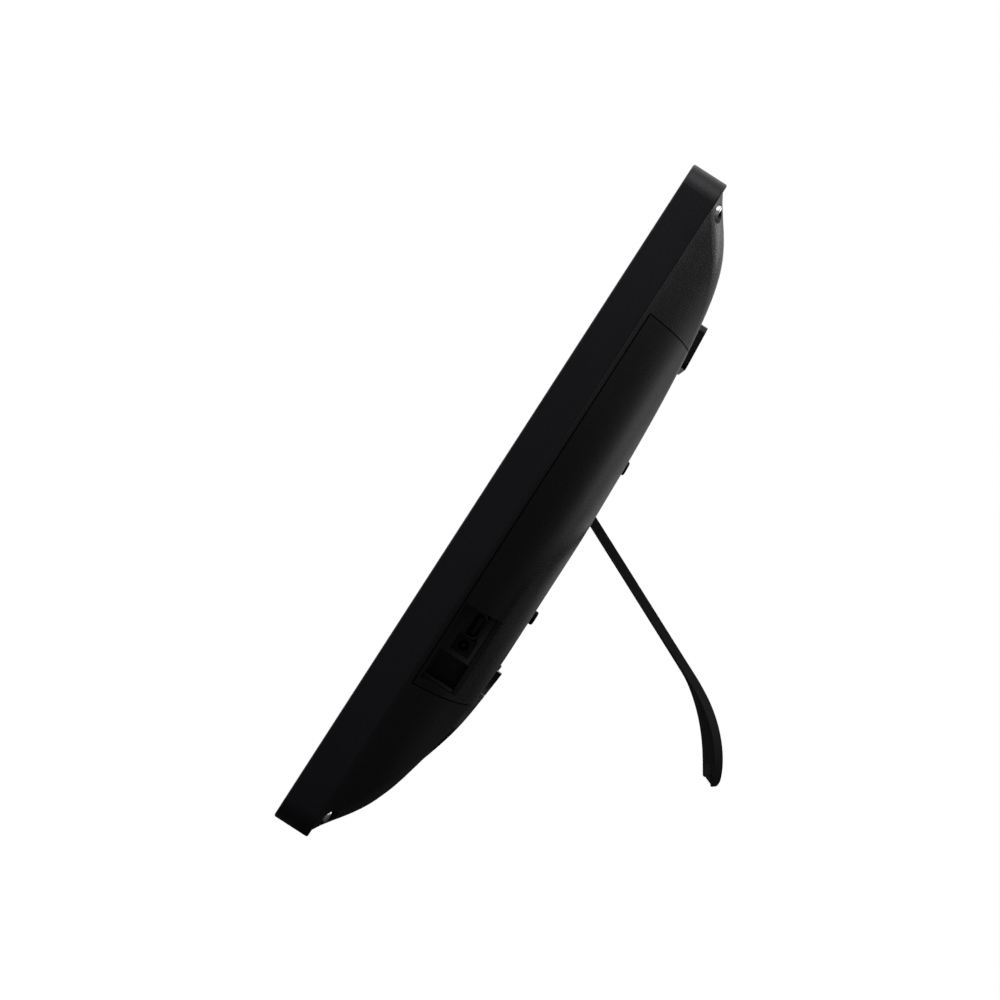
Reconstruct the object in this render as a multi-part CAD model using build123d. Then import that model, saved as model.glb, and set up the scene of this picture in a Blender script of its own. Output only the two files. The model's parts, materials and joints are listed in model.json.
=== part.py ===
"""Digital photo frame on a fold-out stand.

The frame is drawn upright first: X to the viewer's right, Y from the front face to the back,
Z up from the bottom edge. place() then leans it back onto its stand, with the origin on the
table under the middle of the whole frame.
"""
from build123d import *
from math import acos, asin, atan, atan2, copysign, cos, degrees, hypot, pi, radians, sin, sqrt, tan
import os

# ---------------------------------------------------------------- driving dimensions, mm
VIEW_W = 162.0              # lit area of the screen
VIEW_H = 121.5
SIDE_BORDER = 30.0          # from the lit area to the frame's edges
END_BORDER = 31.15
LEAN = 32.83                # degrees from upright

BEZEL_DEPTH = 9.4
BEZEL_WALL = 2.4
BEZEL_FACE = 3.0            # front plate, with the window's rebate in it
CORNER_R = 6.0
FRONT_EDGE_R = 0.5
BACK_EDGE_R = 0.5

WINDOW_BORDER = 13.0        # rim of the bezel left round the window
WINDOW_T = 1.3
WINDOW_R = 3.0
WINDOW_GAP = 0.1

VIEW_MARGIN = 1.0
GLASS_BORDER = 8.0
GLASS_T = 1.8
GLASS_CORNER_R = 0.5
GASKET_T = 0.8
GASKET_W = 5.0
BACKLIGHT_T = 3.6
TRAY_T = 0.6
TRAY_GAP = 0.3

# Rear shell: depth from the front face, then how far in from the sides, top and bottom. The
# rings are drawn for a frame of this width and height, and stretch with the frame.
DRAWN_W = 222.0
DRAWN_H = 183.8
SHELL_RINGS = (
    (BEZEL_DEPTH, 1.0, 1.8, 1.8),
    (12.0, 4.4, 5.3, 5.3),
    (16.9, 10.5, 11.4, 11.4),
    (20.0, 16.3, 17.2, 17.2),
    (22.8, 25.0, 27.9, 25.4),
    (24.9, 33.0, 42.9, 32.9),
    (26.4, 41.0, 59.9, 40.9),
    (27.4, 49.0, 76.9, 48.9),
    (27.9, 57.0, 91.9, 56.9),
    (28.0, 63.0, 101.9, 62.9),
)
SHELL_WALL = 2.4
SHELL_CORNER_GROWTH = 0.5   # corner radius gained per millimetre that each side draws in
SHELL_ROUND_LIMIT = 0.45    # largest corner radius, as a share of a ring's shorter side
SHELL_LEAST_R = 1.0

# Cover panel across the middle of the back
PANEL_T = 1.2
PANEL_BOND = 0.1
PANEL_BOTTOM = 44.6
PANEL_FROM_TOP = 35.9
PANEL_EDGE_Y = 10.6
PANEL_SEAM = 0.3

# Socket recess in the right flank
RECESS_RAISE = 1.5          # above the cover panel's lower edge
RECESS_H = 21.1
RECESS_FRONT = 11.1
RECESS_INSET = 19.0         # how far the socket plate lies in from the side
RECESS_WALL = 1.4
PORT_PLATE_T = 1.0
POCKET_RAISE = 0.8          # above the recess's lower wall
POCKET_FRONT = 11.8
POCKET_DEPTH = 8.0
USB_RAISE = 17.1
USB_SIZE = (9.2, 3.9, 7.0)  # along X, Y, Z
USB_WALL = 0.4
USB_CHAMFER = 1.0
USB_TONGUE = (1.0, 4.6)     # thickness and width
USB_TONGUE_INSET = 1.0
USB_BACK_WALL = 1.6
DC_RAISE = 11.4
DC_SIZE = (9.6, 3.9, 4.2)
DC_COLLAR = 4.8
DC_BORE_R = 1.35
DC_PIN_R = 0.35
DC_LIP = 0.3
DC_PIN_INSET = 0.9
DC_BACK_WALL = 1.2
SOCKET_Y = 16.25            # centre line of both sockets
FIT = 0.1                   # clearance round a piece that drops into its seat

# Stand
HINGE_Y = 26.4
HINGE_Z = 102.6
PIN_R = 1.25
PIN_FIT = 0.03
BARREL_R = 2.3
HEEL = 4.2                  # short end of the leg beyond its pin, which meets the stop
LEG_T = 2.2
LEG_W = 22.0
FOOT_W = 44.0
LEG_STRAIGHT = 53.9         # from the pin to where the foot starts to bend
FOOT_BEND_R = 46.4
LEG_LENGTH = 86.4           # from the pin to the toe, along the middle of the leg
FLARE_START = 49.0
TOE_R = 13.0
PAD_W = 20.0
PAD_LENGTH = 5.0
PAD_PROUD = 0.1
POCKET_CLEAR = 0.5
POCKET_SIDE = 1.2
POCKET_WALL = 1.5
FINGER_W = 16.0
FINGER_L = 6.0
RIM_PROUD = 3.2
RIM_FROM_PIN = 50.7
RIM_MARGIN = 5.0
EAR_T = 1.0
BRACKET_T = 0.8
WASHER_T = 0.25
WASHER_R = 2.2
BRACKET_SCREW_X = 7.0
BRACKET_SCREW_DROP = 9.0
HEEL_GAP = 0.04
PAD_FIT = 0.05

# Hanging boss near the top of the back
BOSS_W = 28.0
BOSS_RAISE = 2.0            # above the cover panel
BOSS_H = 13.2
BOSS_Y_LOW = 28.1
BOSS_Y_HIGH = 27.15
KEYHOLE_R = 3.8
KEYHOLE_SLOT_R = 1.9
KEYHOLE_RISE = 5.2
KEYHOLE_WALL = 1.8
KEYHOLE_EDGE = 1.0
KEYHOLE_SIDE = 0.5
BOSS_FLOOR = 20.2
BOSS_CORNER_R = 2.0

# Wall bumpers
BUMPER_R = 2.0
BUMPER_PROUD = 1.65
BUMPER_X = 36.0
BUMPER_Z = (70.3, 117.1)
BUMPER_EDGE_R = 0.5

# Corner screws
SCREW_INSET = (4.8, 6.9)     # from the sides, and from the top and bottom
SCREW_SEAT_ABOVE = 0.6      # from the bezel's back edge
SCREW_WELL_R = 2.1
SCREW_R = 1.0
SCREW_HEAD_R = 1.8
SCREW_HEAD_H = 1.3
CORNER_BOSS_R = 2.6
SEAT_BOSS_R = 2.3
CORNER_BOSS_BELOW = 0.8     # from the bezel's back edge
SMALL_SCREW_R = 1.0
SMALL_HEAD_R = 2.0
SMALL_HEAD_H = 1.3
THREAD_FIT = 0.03
SCREW_END_GAP = 1.0
HEAD_ROUNDING = 0.45        # shares of a screw head's height, then of its radius
RECESS_FLOOR = 0.4
RECESS_LONG = 1.2
RECESS_WIDE = 0.3

# Electronics
BRACKET_SPAN = 112.0
BRACKET_SIZE = (21.0, 0.8, 12.0)
BRACKET_BOSS_OUT = 8.5      # from the screen's glass
BRACKET_GRIP = 6.0
BRACKET_CORNER_R = 1.0
BOARD_T = 1.6
BOARD_W = 84.5
BOARD_H = 78.0
BOARD_BEHIND_PORTS = 1.5
BOARD_BELOW_RECESS = 11.2
STANDOFF_R = 2.2
STANDOFF_H = 2.9
STANDOFF_FLOOR = 0.5
BOARD_HOLE_INSET = 4.4
# Chips: in from the board's left and bottom edges, then width, height and thickness.
CHIPS = (
    (18.0, 24.0, 12.0, 18.0, 1.0),
    (44.0, 64.0, 14.0, 10.0, 1.0),
    (64.5, 50.0, 6.0, 6.0, 0.9),
    (20.0, 64.0, 5.0, 6.0, 1.5),
    (30.0, 22.0, 4.0, 10.0, 2.4),
    (68.5, 60.0, 6.5, 6.5, 3.0),
)
SHIELD_PLACE = (46.0, 35.0)
SHIELD_W = 24.0
SHIELD_H = 2.4
SHIELD_T = 0.3
SHIELD_CORNER_R = 1.5
SHIELD_HOLE_R = 0.8
SHIELD_HOLE_PITCH = 5.0
CAPACITOR_PLACES = ((78.2, 46.0), (78.2, 38.0), (58.0, 71.7))
CAPACITOR_R = 3.15
CAPACITOR_H = 5.4
CAPACITOR_EDGE_R = 0.5
LEAD_SOCKET_INSET = 1.0
LEAD_SOCKET = (5.0, 6.0, 3.4)
LEAD_SOCKET_RAISE = (54.1, 64.1)
KEY_BOARD_INSET = 17.0
KEY_BOARD_W = 32.0
KEY_BOARD_RAISE = 10.3      # above the cover panel's lower edge
KEY_BOARD_H = 72.0
KEY_BOARD_Y = 15.0
KEY_INSET = 31.0
KEY_RAISE = 12.0
KEY_PITCH = 10.0
KEY_NAMES = ("back", "play", "enter", "down", "up", "power")
KEY_R = 3.2
KEY_FIT = 0.15
KEY_FLANGE_R = 4.2
KEY_FLANGE_T = 0.8
KEY_STEM_R = 1.5
KEY_TRAVEL = 0.4
KEY_PROUD = 0.8
SWITCH_W = 6.0
SWITCH_H = 2.0
SWITCH_WELL = 1.7
KEY_SCREW_BITE = 4.0
KEY_EDGE_R = 0.3
SWITCH_CORNER_R = 0.6
CARD_RAISE = 30.0
CARD_SLOT_W = 25.0
CARD_SLOT_T = 2.4
CARD_SOCKET = (27.0, 2.9, 28.0)
CARD_MOUTH_INSET = 15.5
CARD_WALL = 0.3
CARD_FLARE = 0.4
SPEAKER_X = 45.0
SPEAKER_FROM_TOP = 24.8
SPEAKER_R = 9.0
SPEAKER_T = 5.2
SPEAKER_RIM = 1.4
SPEAKER_BASKET_R = 7.2
SPEAKER_BASKET_RISE = 1.8
SPEAKER_MAGNET_R = 5.0
SPEAKER_CONE_R = 7.0
SPEAKER_CONE_SINK = 1.1
SPEAKER_DOME_R = 2.7
SPEAKER_SEAT = 18.2
SPEAKER_CUP_T = 1.4
GRILLE_SLOTS = 5
GRILLE_PITCH = 2.6
GRILLE_SLOT = 1.1
LEAD_R = 0.6
BEND_SHARE = 0.45           # of the shorter run beside a bend
LEAD_LIFT = 1.6
LEAD_START = 2.0             # in from the speaker's middle
LEAD_COLUMN = 11.0           # left of the main board
LEAD_SPREAD = 2.5
LEAD_BENDS = (22.0, 12.0, 10.0)
RIBBON_T = 0.3
RIBBON_W = 20.0
RIBBON_RAISE = 23.1
RIBBON_RUN = 24.0
RIBBON_LIFT = 1.1
RIBBON_BEND = 1.2
RIBBON_GAP = 2.5
RIBBON_INSET = 4.0
RIBBON_MARGIN = 1.5
RIBBON_SOCKET = (5.0, 2.2)
KEY_RIBBON_W = 8.0
KEY_RIBBON_RAISE = 42.1
KEY_RIBBON_STRAIGHT = (12.0, 16.0)

# ---------------------------------------------------------------- worked out from the above
WIDTH = VIEW_W + 2 * SIDE_BORDER
HEIGHT = VIEW_H + 2 * END_BORDER
VIEW_Z = HEIGHT / 2
PANEL_TOP = HEIGHT - PANEL_FROM_TOP
RECESS_BOTTOM = PANEL_BOTTOM + RECESS_RAISE
RECESS_TOP = RECESS_BOTTOM + RECESS_H
POCKET_BOTTOM = RECESS_BOTTOM + POCKET_RAISE
USB_Z = RECESS_BOTTOM + USB_RAISE
DC_Z = RECESS_BOTTOM + DC_RAISE
RIM_TOP = HINGE_Z - RIM_FROM_PIN
BOSS_BOTTOM = PANEL_TOP + BOSS_RAISE
BOSS_TOP = BOSS_BOTTOM + BOSS_H
SPEAKER_Z = HEIGHT - SPEAKER_FROM_TOP
GASKET_Y = BEZEL_FACE
GLASS_Y = GASKET_Y + GASKET_T
BACKLIGHT_Y = GLASS_Y + GLASS_T
TRAY_Y = BACKLIGHT_Y + BACKLIGHT_T + TRAY_T
BOARD_Y = TRAY_Y + STANDOFF_H
BOARD_BACK = BOARD_Y + BOARD_T
SCREW_SEAT = BEZEL_DEPTH + SCREW_SEAT_ABOVE
CORNER_BOSS_TOP = BEZEL_DEPTH - CORNER_BOSS_BELOW
POCKET_TOP = DC_Z - DC_SIZE[2] / 2 - RECESS_WALL - FIT
KEY_BACK = KEY_BOARD_Y + BOARD_T
PORT_X = WIDTH / 2 - RECESS_INSET
BOARD_X = (PORT_X - BOARD_BEHIND_PORTS - BOARD_W, PORT_X - BOARD_BEHIND_PORTS)
BOARD_Z = (RECESS_BOTTOM - BOARD_BELOW_RECESS, RECESS_BOTTOM - BOARD_BELOW_RECESS + BOARD_H)
KEY_X = KEY_INSET - WIDTH / 2
KEY_BOARD_X = (KEY_BOARD_INSET - WIDTH / 2, KEY_BOARD_INSET - WIDTH / 2 + KEY_BOARD_W)
KEY_BOARD_Z = (PANEL_BOTTOM + KEY_BOARD_RAISE, PANEL_BOTTOM + KEY_BOARD_RAISE + KEY_BOARD_H)
KEY_BOTTOM = KEY_BOARD_Z[0] + KEY_RAISE
CARD_Z = KEY_BOARD_Z[0] + CARD_RAISE
GLASS_W = VIEW_W + 2 * GLASS_BORDER
GLASS_H = VIEW_H + 2 * GLASS_BORDER
BEHIND = 2 * SHELL_RINGS[-1][0]     # far enough behind the frame for any cut
FAR = WIDTH + HEIGHT


# ---------------------------------------------------------------- small helpers
def block(x0, x1, y0, y1, z0, z1):
    """A box between three pairs of limits."""
    return Pos((x0 + x1) / 2, (y0 + y1) / 2, (z0 + z1) / 2) * Box(x1 - x0, y1 - y0, z1 - z0)


def post(x, z, radius, y0, y1):
    """A round post that runs from the front to the back."""
    return Pos(x, (y0 + y1) / 2, z) * Rot(90, 0, 0) * Cylinder(radius, y1 - y0)


def rod(x0, x1, y, z, radius):
    """A round rod that runs across the frame."""
    return Pos((x0 + x1) / 2, y, z) * Rot(0, 90, 0) * Cylinder(radius, x1 - x0)


def plate(width, height, radius, y0, y1, z=VIEW_Z):
    """A rounded plate parallel to the screen."""
    face = Plane((0, y0, z), x_dir=(1, 0, 0), z_dir=(0, 1, 0)) * RectangleRounded(width, height, radius)
    return extrude(face, y1 - y0)


def slot(x, z, width, height, y0, y1):
    """A bar with round ends, parallel to the screen; the longer size sets its direction."""
    turn = 0 if width > height else 90
    face = SlotOverall(max(width, height), min(width, height), rotation=turn)
    return extrude(Plane((x, y0, z), x_dir=(1, 0, 0), z_dir=(0, 1, 0)) * face, y1 - y0)


def screw(x, z, seat, shank, radius, head_r, head_h):
    """A pan-head screw that points at the screen, with its cross recess."""
    head = post(x, z, head_r, seat, seat + head_h)
    head = fillet(head.edges().sort_by(Axis.Y)[-1], head_h * HEAD_ROUNDING)
    body = head + post(x, z, radius, seat - shank, seat)
    arm, width = head_r * RECESS_LONG / 2, head_r * RECESS_WIDE / 2
    for half_x, half_z in ((arm, width), (width, arm)):
        body -= block(x - half_x, x + half_x, seat + head_h * RECESS_FLOOR, BEHIND, z - half_z, z + half_z)
    return body


def outline(lines):
    """A flat face inside a closed run of lines and arcs."""
    return make_face([edge for line in lines for edge in line.edges()])


def group(pieces):
    """Several separate solids in one node."""
    return Compound(children=[solid for piece in pieces for solid in piece.solids()])


# ---------------------------------------------------------------- rear shell
def shell_rings():
    """The rings stretched to the frame's own width and height."""
    across = WIDTH / DRAWN_W
    along = HEIGHT / DRAWN_H
    return [(depth, side * across, top * along, bottom * along) for depth, side, top, bottom in SHELL_RINGS]


def ring_slope(rings, index, column):
    """Slope of the shell's profile at one ring, on one of its sides, in radians."""
    lower = rings[max(index - 1, 0)]
    upper = rings[min(index + 1, len(rings) - 1)]
    steepness = (upper[0] - lower[0]) / (upper[column] - lower[column])
    if index == len(rings) - 1:
        steepness /= 2
    return atan(steepness)


def shell_form(inward):
    """The pillow form of the back, moved inwards by a distance; solid down to the bezel."""
    sections = []
    rings = shell_rings()
    for index, ring in enumerate(rings):
        slopes = [ring_slope(rings, index, column) for column in (1, 2, 3)]
        drop = inward * sum(cos(slope) for slope in slopes) / 3
        if index == 0:
            depth = ring[0]
            insets = [ring[i + 1] + inward / sin(slopes[i]) for i in range(3)]
        else:
            depth = ring[0] - drop
            insets = [
                ring[i + 1] + inward * sin(slopes[i]) + (inward * cos(slopes[i]) - drop) / tan(slopes[i])
                for i in range(3)
            ]
        side, top, bottom = insets
        wide = WIDTH - 2 * side
        tall = HEIGHT - top - bottom
        radius = CORNER_R + (2 * SHELL_CORNER_GROWTH - 1) * ring[1] - inward * sin(slopes[0])
        radius = min(max(radius, SHELL_LEAST_R), SHELL_ROUND_LIMIT * min(wide, tall))
        plane = Plane((0, depth, (bottom + HEIGHT - top) / 2), x_dir=(1, 0, 0), z_dir=(0, 1, 0))
        sections.append(plane * RectangleRounded(wide, tall, radius))
    return loft(sections)


# The form of the back and its offsets, which the pieces below are cut from.
OUTER = shell_form(0)
INNER = shell_form(SHELL_WALL)
UNDER_PANEL = shell_form(PANEL_T)
PANEL_SEAT = shell_form(PANEL_T + PANEL_BOND)


def panel_zone(margin):
    """The band across the back that the cover panel fills, grown by a margin."""
    return block(-WIDTH / 2, WIDTH / 2, PANEL_EDGE_Y - margin, BEHIND,
                 PANEL_BOTTOM - margin, PANEL_TOP + margin)


# The shell's own outside, stepped down under the cover panel.
SHELL_SKIN = OUTER - ((OUTER - PANEL_SEAT) & panel_zone(PANEL_SEAM))


# ---------------------------------------------------------------- stand leg and its pocket
def foot_point(length, lift=0.0):
    """Depth and height of the folded leg's middle line, at a length along its bent foot."""
    bend = (length - LEG_STRAIGHT) / FOOT_BEND_R
    radius = FOOT_BEND_R + lift
    return (HINGE_Y - FOOT_BEND_R + radius * cos(bend), HINGE_Z - LEG_STRAIGHT - radius * sin(bend))


def strip(start, end, thickness, width):
    """The bent tongue of the leg, folded, between two lengths from the pin."""
    centre = (HINGE_Y - FOOT_BEND_R, HINGE_Z - LEG_STRAIGHT)
    bend = degrees((end - LEG_STRAIGHT) / FOOT_BEND_R)
    if start < LEG_STRAIGHT:
        first = 0
    else:
        first = degrees((start - LEG_STRAIGHT) / FOOT_BEND_R)
    outer = CenterArc(centre, FOOT_BEND_R + thickness / 2, -first, first - bend)
    inner = CenterArc(centre, FOOT_BEND_R - thickness / 2, -first, first - bend)
    face = outline([outer, inner, Line(outer @ 0, inner @ 0), Line(outer @ 1, inner @ 1)])
    body = extrude(Plane.YZ * face, width / 2, both=True)
    if start < LEG_STRAIGHT:
        body += block(-width / 2, width / 2, HINGE_Y - thickness / 2, HINGE_Y + thickness / 2,
                      HINGE_Z - LEG_STRAIGHT, HINGE_Z - start)
    return body


def leg_plan(margin, top_z, toe_z):
    """The leg's outline seen from behind, grown by a margin: narrow, then flared at the foot."""
    narrow = LEG_W / 2 + margin
    wide = FOOT_W / 2 + margin
    start = (narrow, HINGE_Z - FLARE_START)
    end = (wide, toe_z + TOE_R)
    middle = ((narrow + wide) / 2, (start[1] + end[1]) / 2)
    first = TangentArc(start, middle, tangent=(0, -1))
    second = TangentArc(middle, end, tangent=first % 1)
    half = [
        Line((0, top_z), (narrow, top_z)),
        Line((narrow, top_z), start),
        first,
        second,
        CenterArc((wide - TOE_R, toe_z + TOE_R), TOE_R, 0, -90),
        Line((wide - TOE_R, toe_z), (0, toe_z)),
        Line((0, toe_z), (0, top_z)),
    ]
    face = outline(half)
    return Plane.XZ * (face + mirror(face, Plane.YZ))


def opened(piece):
    """Swings a piece out about the hinge pin, from folded to where the frame stands on it."""
    about_pin = Pos(0, HINGE_Y, HINGE_Z) * Rot(OPEN_ANGLE, 0, 0) * Pos(0, -HINGE_Y, -HINGE_Z)
    return about_pin * piece


PAD_R = LEG_T / 2 + PAD_PROUD
PAD_TIP = foot_point(LEG_LENGTH - PAD_R)
TOE_Z = foot_point(LEG_LENGTH)[1]

# The frame stands on its rounded lower back edge and on the rubber pad of the open leg.
TILT = radians(LEAN)
DROP = (BEZEL_DEPTH - BACK_EDGE_R) * sin(TILT) - BACK_EDGE_R * cos(TILT) + BACK_EDGE_R
PIN_HEIGHT = HINGE_Z * cos(TILT) - HINGE_Y * sin(TILT) + DROP
PAD_REACH = hypot(HINGE_Z - PAD_TIP[1], HINGE_Y - PAD_TIP[0])
PAD_PHASE = atan2(PAD_TIP[0] - HINGE_Y, HINGE_Z - PAD_TIP[1])
OPEN_ANGLE = LEAN + degrees(acos((PIN_HEIGHT - PAD_R) / PAD_REACH) - PAD_PHASE)

EAR_X = LEG_W / 2 + WASHER_T + FIT
WELL_W = EAR_X + EAR_T + POCKET_CLEAR
WELL_Y = HINGE_Y - hypot(HEEL, LEG_T / 2) - HEEL_GAP - BRACKET_T
WELL_TOP = HINGE_Z + HEEL + POCKET_SIDE
WELL_BOTTOM = HINGE_Z - BRACKET_SCREW_DROP - SMALL_HEAD_R - POCKET_SIDE
TOE_CORNER = foot_point(LEG_LENGTH, PAD_R)
# The lowest that the foot comes as it swings out past the pin.
SWEEP_Z = HINGE_Z - hypot(TOE_CORNER[0] - HINGE_Y, TOE_CORNER[1] - HINGE_Z)
POCKET_END = SWEEP_Z - POCKET_CLEAR


def leg_pocket(grow):
    """The room that the folded leg takes in the back, grown all round by a wall."""
    low = POCKET_END - grow
    gap = LEG_T / 2 + POCKET_CLEAR + grow
    centre = (HINGE_Y - FOOT_BEND_R, HINGE_Z - LEG_STRAIGHT)
    bend = degrees(asin((centre[1] - low) / (FOOT_BEND_R - gap)))
    floor = CenterArc(centre, FOOT_BEND_R - gap, 0, -bend)
    top = WELL_BOTTOM - grow
    face = outline([
        Line((BEHIND, top), (HINGE_Y - gap, top)),
        Line((HINGE_Y - gap, top), floor @ 0),
        floor,
        Line(floor @ 1, (BEHIND, (floor @ 1).Y)),
        Line((BEHIND, (floor @ 1).Y), (BEHIND, top)),
    ])
    side = extrude(Plane.YZ * face, FOOT_W, both=True)
    plan = extrude(leg_plan(POCKET_SIDE + grow, HINGE_Z, low), FAR, both=True)
    well = block(-WELL_W - grow, WELL_W + grow, WELL_Y - grow, BEHIND,
                 WELL_BOTTOM - grow, WELL_TOP + grow)
    shallow = foot_point(LEG_LENGTH)[0] - gap
    notch = slot(0, POCKET_END, FINGER_W + 2 * grow, 2 * FINGER_L + 2 * grow, shallow, BEHIND)
    return side & plan, well, notch


def leg_room():
    cut = leg_pocket(0)
    return cut[0] + cut[1] + cut[2]


def leg_pocket_walls():
    grown = leg_pocket(POCKET_WALL)
    return (grown[0] + grown[1] + grown[2]) & SHELL_SKIN


def pocket_rim(bottom, top):
    """The raised rim round the foot of the leg, between two heights."""
    margin = POCKET_SIDE + RIM_MARGIN
    around = extrude(leg_plan(margin, top, TOE_Z - margin), FAR, both=True)
    level = block(-FOOT_W, FOOT_W, BEZEL_DEPTH, BEHIND, bottom, top)
    return (shell_form(-RIM_PROUD) & around & level) - OUTER


def make_stand_leg():
    body = strip(0, LEG_LENGTH - PAD_PROUD - FIT, LEG_T, FOOT_W)
    body &= extrude(leg_plan(0, HINGE_Z + HEEL, TOE_Z), FAR, both=True)
    heel = block(-LEG_W / 2, LEG_W / 2, HINGE_Y - LEG_T / 2, HINGE_Y + LEG_T / 2, HINGE_Z, HINGE_Z + HEEL)
    body += heel + rod(-LEG_W / 2, LEG_W / 2, HINGE_Y, HINGE_Z, BARREL_R)
    body -= rod(-LEG_W, LEG_W, HINGE_Y, HINGE_Z, PIN_R + PIN_FIT)
    body -= strip(LEG_LENGTH - PAD_LENGTH, LEG_LENGTH + LEG_T, LEG_T * 2, PAD_W + 2 * PAD_FIT)
    return opened(body)


def make_stand_foot_pad():
    body = strip(LEG_LENGTH - PAD_LENGTH + PAD_FIT, LEG_LENGTH - PAD_R, 2 * PAD_R, PAD_W)
    body += rod(-PAD_W / 2, PAD_W / 2, PAD_TIP[0], PAD_TIP[1], PAD_R)
    return opened(body)


def make_hinge_pin():
    return rod(-EAR_X - EAR_T, EAR_X + EAR_T, HINGE_Y, HINGE_Z, PIN_R)


def make_hinge_bracket():
    """A folded steel bracket: a base on the floor of the well and two ears that hold the pin."""
    base_y = WELL_Y + BRACKET_T
    bottom = WELL_BOTTOM + FIT
    body = block(-EAR_X - EAR_T, EAR_X + EAR_T, WELL_Y, base_y, bottom, WELL_TOP - FIT)
    for side in (-1, 1):
        x = sorted((side * EAR_X, side * (EAR_X + EAR_T)))
        ear = block(*x, base_y, HINGE_Y, HINGE_Z - BARREL_R, HINGE_Z + BARREL_R)
        body += ear + rod(*x, HINGE_Y, HINGE_Z, BARREL_R)
        body -= rod(*x, HINGE_Y, HINGE_Z, PIN_R + PIN_FIT)
        body -= post(side * BRACKET_SCREW_X, HINGE_Z - BRACKET_SCREW_DROP, SMALL_SCREW_R + FIT, 0, FAR)
    return body


def make_hinge_washers():
    washers = []
    for side in (-1, 1):
        x = sorted((side * (LEG_W / 2 + FIT / 2), side * (LEG_W / 2 + FIT / 2 + WASHER_T)))
        ring = rod(*x, HINGE_Y, HINGE_Z, WASHER_R) - rod(*x, HINGE_Y, HINGE_Z, PIN_R + PIN_FIT)
        washers.append(ring)
    return group(washers)


def make_hinge_screws():
    z = HINGE_Z - BRACKET_SCREW_DROP
    shank = BRACKET_T + POCKET_WALL
    return group([
        screw(side * BRACKET_SCREW_X, z, WELL_Y + BRACKET_T, shank, SMALL_SCREW_R, SMALL_HEAD_R, SMALL_HEAD_H)
        for side in (-1, 1)
    ])


# ---------------------------------------------------------------- front
def corner_points(side_inset, end_inset):
    """The four points that lie in from the sides, and from the top and bottom, of the frame."""
    x = WIDTH / 2 - side_inset
    return [(side * x, z) for side in (-1, 1) for z in (end_inset, HEIGHT - end_inset)]


def bracket_points():
    """Where the screws of the four screen brackets go."""
    x = GLASS_W / 2 + BRACKET_BOSS_OUT
    half = BRACKET_SPAN / 2
    return [(side * x, z) for side in (-1, 1) for z in (VIEW_Z - half, VIEW_Z + half)]


def make_front_bezel():
    body = block(-WIDTH / 2, WIDTH / 2, 0, BEZEL_DEPTH, 0, HEIGHT)
    body = fillet(body.edges().filter_by(Axis.Y), CORNER_R)
    body = fillet(body.faces().sort_by(Axis.Y)[0].edges(), FRONT_EDGE_R)
    body = fillet(body.faces().sort_by(Axis.Y)[-1].edges(), BACK_EDGE_R)
    body -= plate(WIDTH - 2 * BEZEL_WALL, HEIGHT - 2 * BEZEL_WALL, CORNER_R - BEZEL_WALL, BEZEL_FACE, BEHIND)
    window_w, window_h = window_size()
    gap = 2 * WINDOW_GAP
    body -= plate(window_w + gap, window_h + gap, WINDOW_R, 0, WINDOW_T)
    opening_w = VIEW_W + 2 * VIEW_MARGIN
    opening_h = VIEW_H + 2 * VIEW_MARGIN
    body -= plate(opening_w, opening_h, VIEW_MARGIN / 2, 0, BEHIND)
    for x, z in corner_points(*SCREW_INSET):
        body += post(x, z, CORNER_BOSS_R, BEZEL_FACE - FIT, CORNER_BOSS_TOP)
        body -= post(x, z, SCREW_R + THREAD_FIT, BEZEL_FACE, BEHIND)
    for x, z in bracket_points():
        body += post(x, z, CORNER_BOSS_R, BEZEL_FACE - FIT, TRAY_Y)
        body -= post(x, z, SMALL_SCREW_R + THREAD_FIT, BEZEL_FACE, BEHIND)
    return body


def window_size():
    return WIDTH - 2 * WINDOW_BORDER, HEIGHT - 2 * WINDOW_BORDER


def make_front_window():
    width, height = window_size()
    return plate(width, height, WINDOW_R - WINDOW_GAP, 0, WINDOW_T)


# ---------------------------------------------------------------- screen
def make_lcd_gasket():
    body = plate(GLASS_W, GLASS_H, GLASS_CORNER_R, GASKET_Y, GLASS_Y)
    return body - plate(GLASS_W - 2 * GASKET_W, GLASS_H - 2 * GASKET_W, GLASS_CORNER_R, 0, BEHIND)


def make_lcd_glass():
    return plate(GLASS_W, GLASS_H, GLASS_CORNER_R, GLASS_Y, BACKLIGHT_Y)


def make_lcd_backlight():
    return plate(GLASS_W, GLASS_H, GLASS_CORNER_R, BACKLIGHT_Y, TRAY_Y - TRAY_T)


def make_lcd_tray():
    grow = 2 * (TRAY_GAP + TRAY_T)
    front = GLASS_Y + TRAY_T
    body = plate(GLASS_W + grow, GLASS_H + grow, TRAY_GAP + TRAY_T, front, TRAY_Y)
    return body - plate(GLASS_W + 2 * TRAY_GAP, GLASS_H + 2 * TRAY_GAP, TRAY_GAP, 0, TRAY_Y - TRAY_T)


def make_lcd_brackets():
    length, thickness, height = BRACKET_SIZE
    clips = []
    for x, z in bracket_points():
        side = copysign(1, x)
        outer = x + side * (length / 2 - BRACKET_GRIP)
        inner = outer - side * length
        clip = block(*sorted((inner, outer)), TRAY_Y, TRAY_Y + thickness, z - height / 2, z + height / 2)
        clip = fillet(clip.edges().filter_by(Axis.Y), BRACKET_CORNER_R)
        clips.append(clip - post(x, z, SMALL_SCREW_R + FIT, 0, FAR))
    return group(clips)


def make_lcd_bracket_screws():
    seat = TRAY_Y + BRACKET_SIZE[1]
    return group([
        screw(x, z, seat, seat - BEZEL_FACE - SCREW_END_GAP, SMALL_SCREW_R, SMALL_HEAD_R, SMALL_HEAD_H)
        for x, z in bracket_points()
    ])


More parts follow.
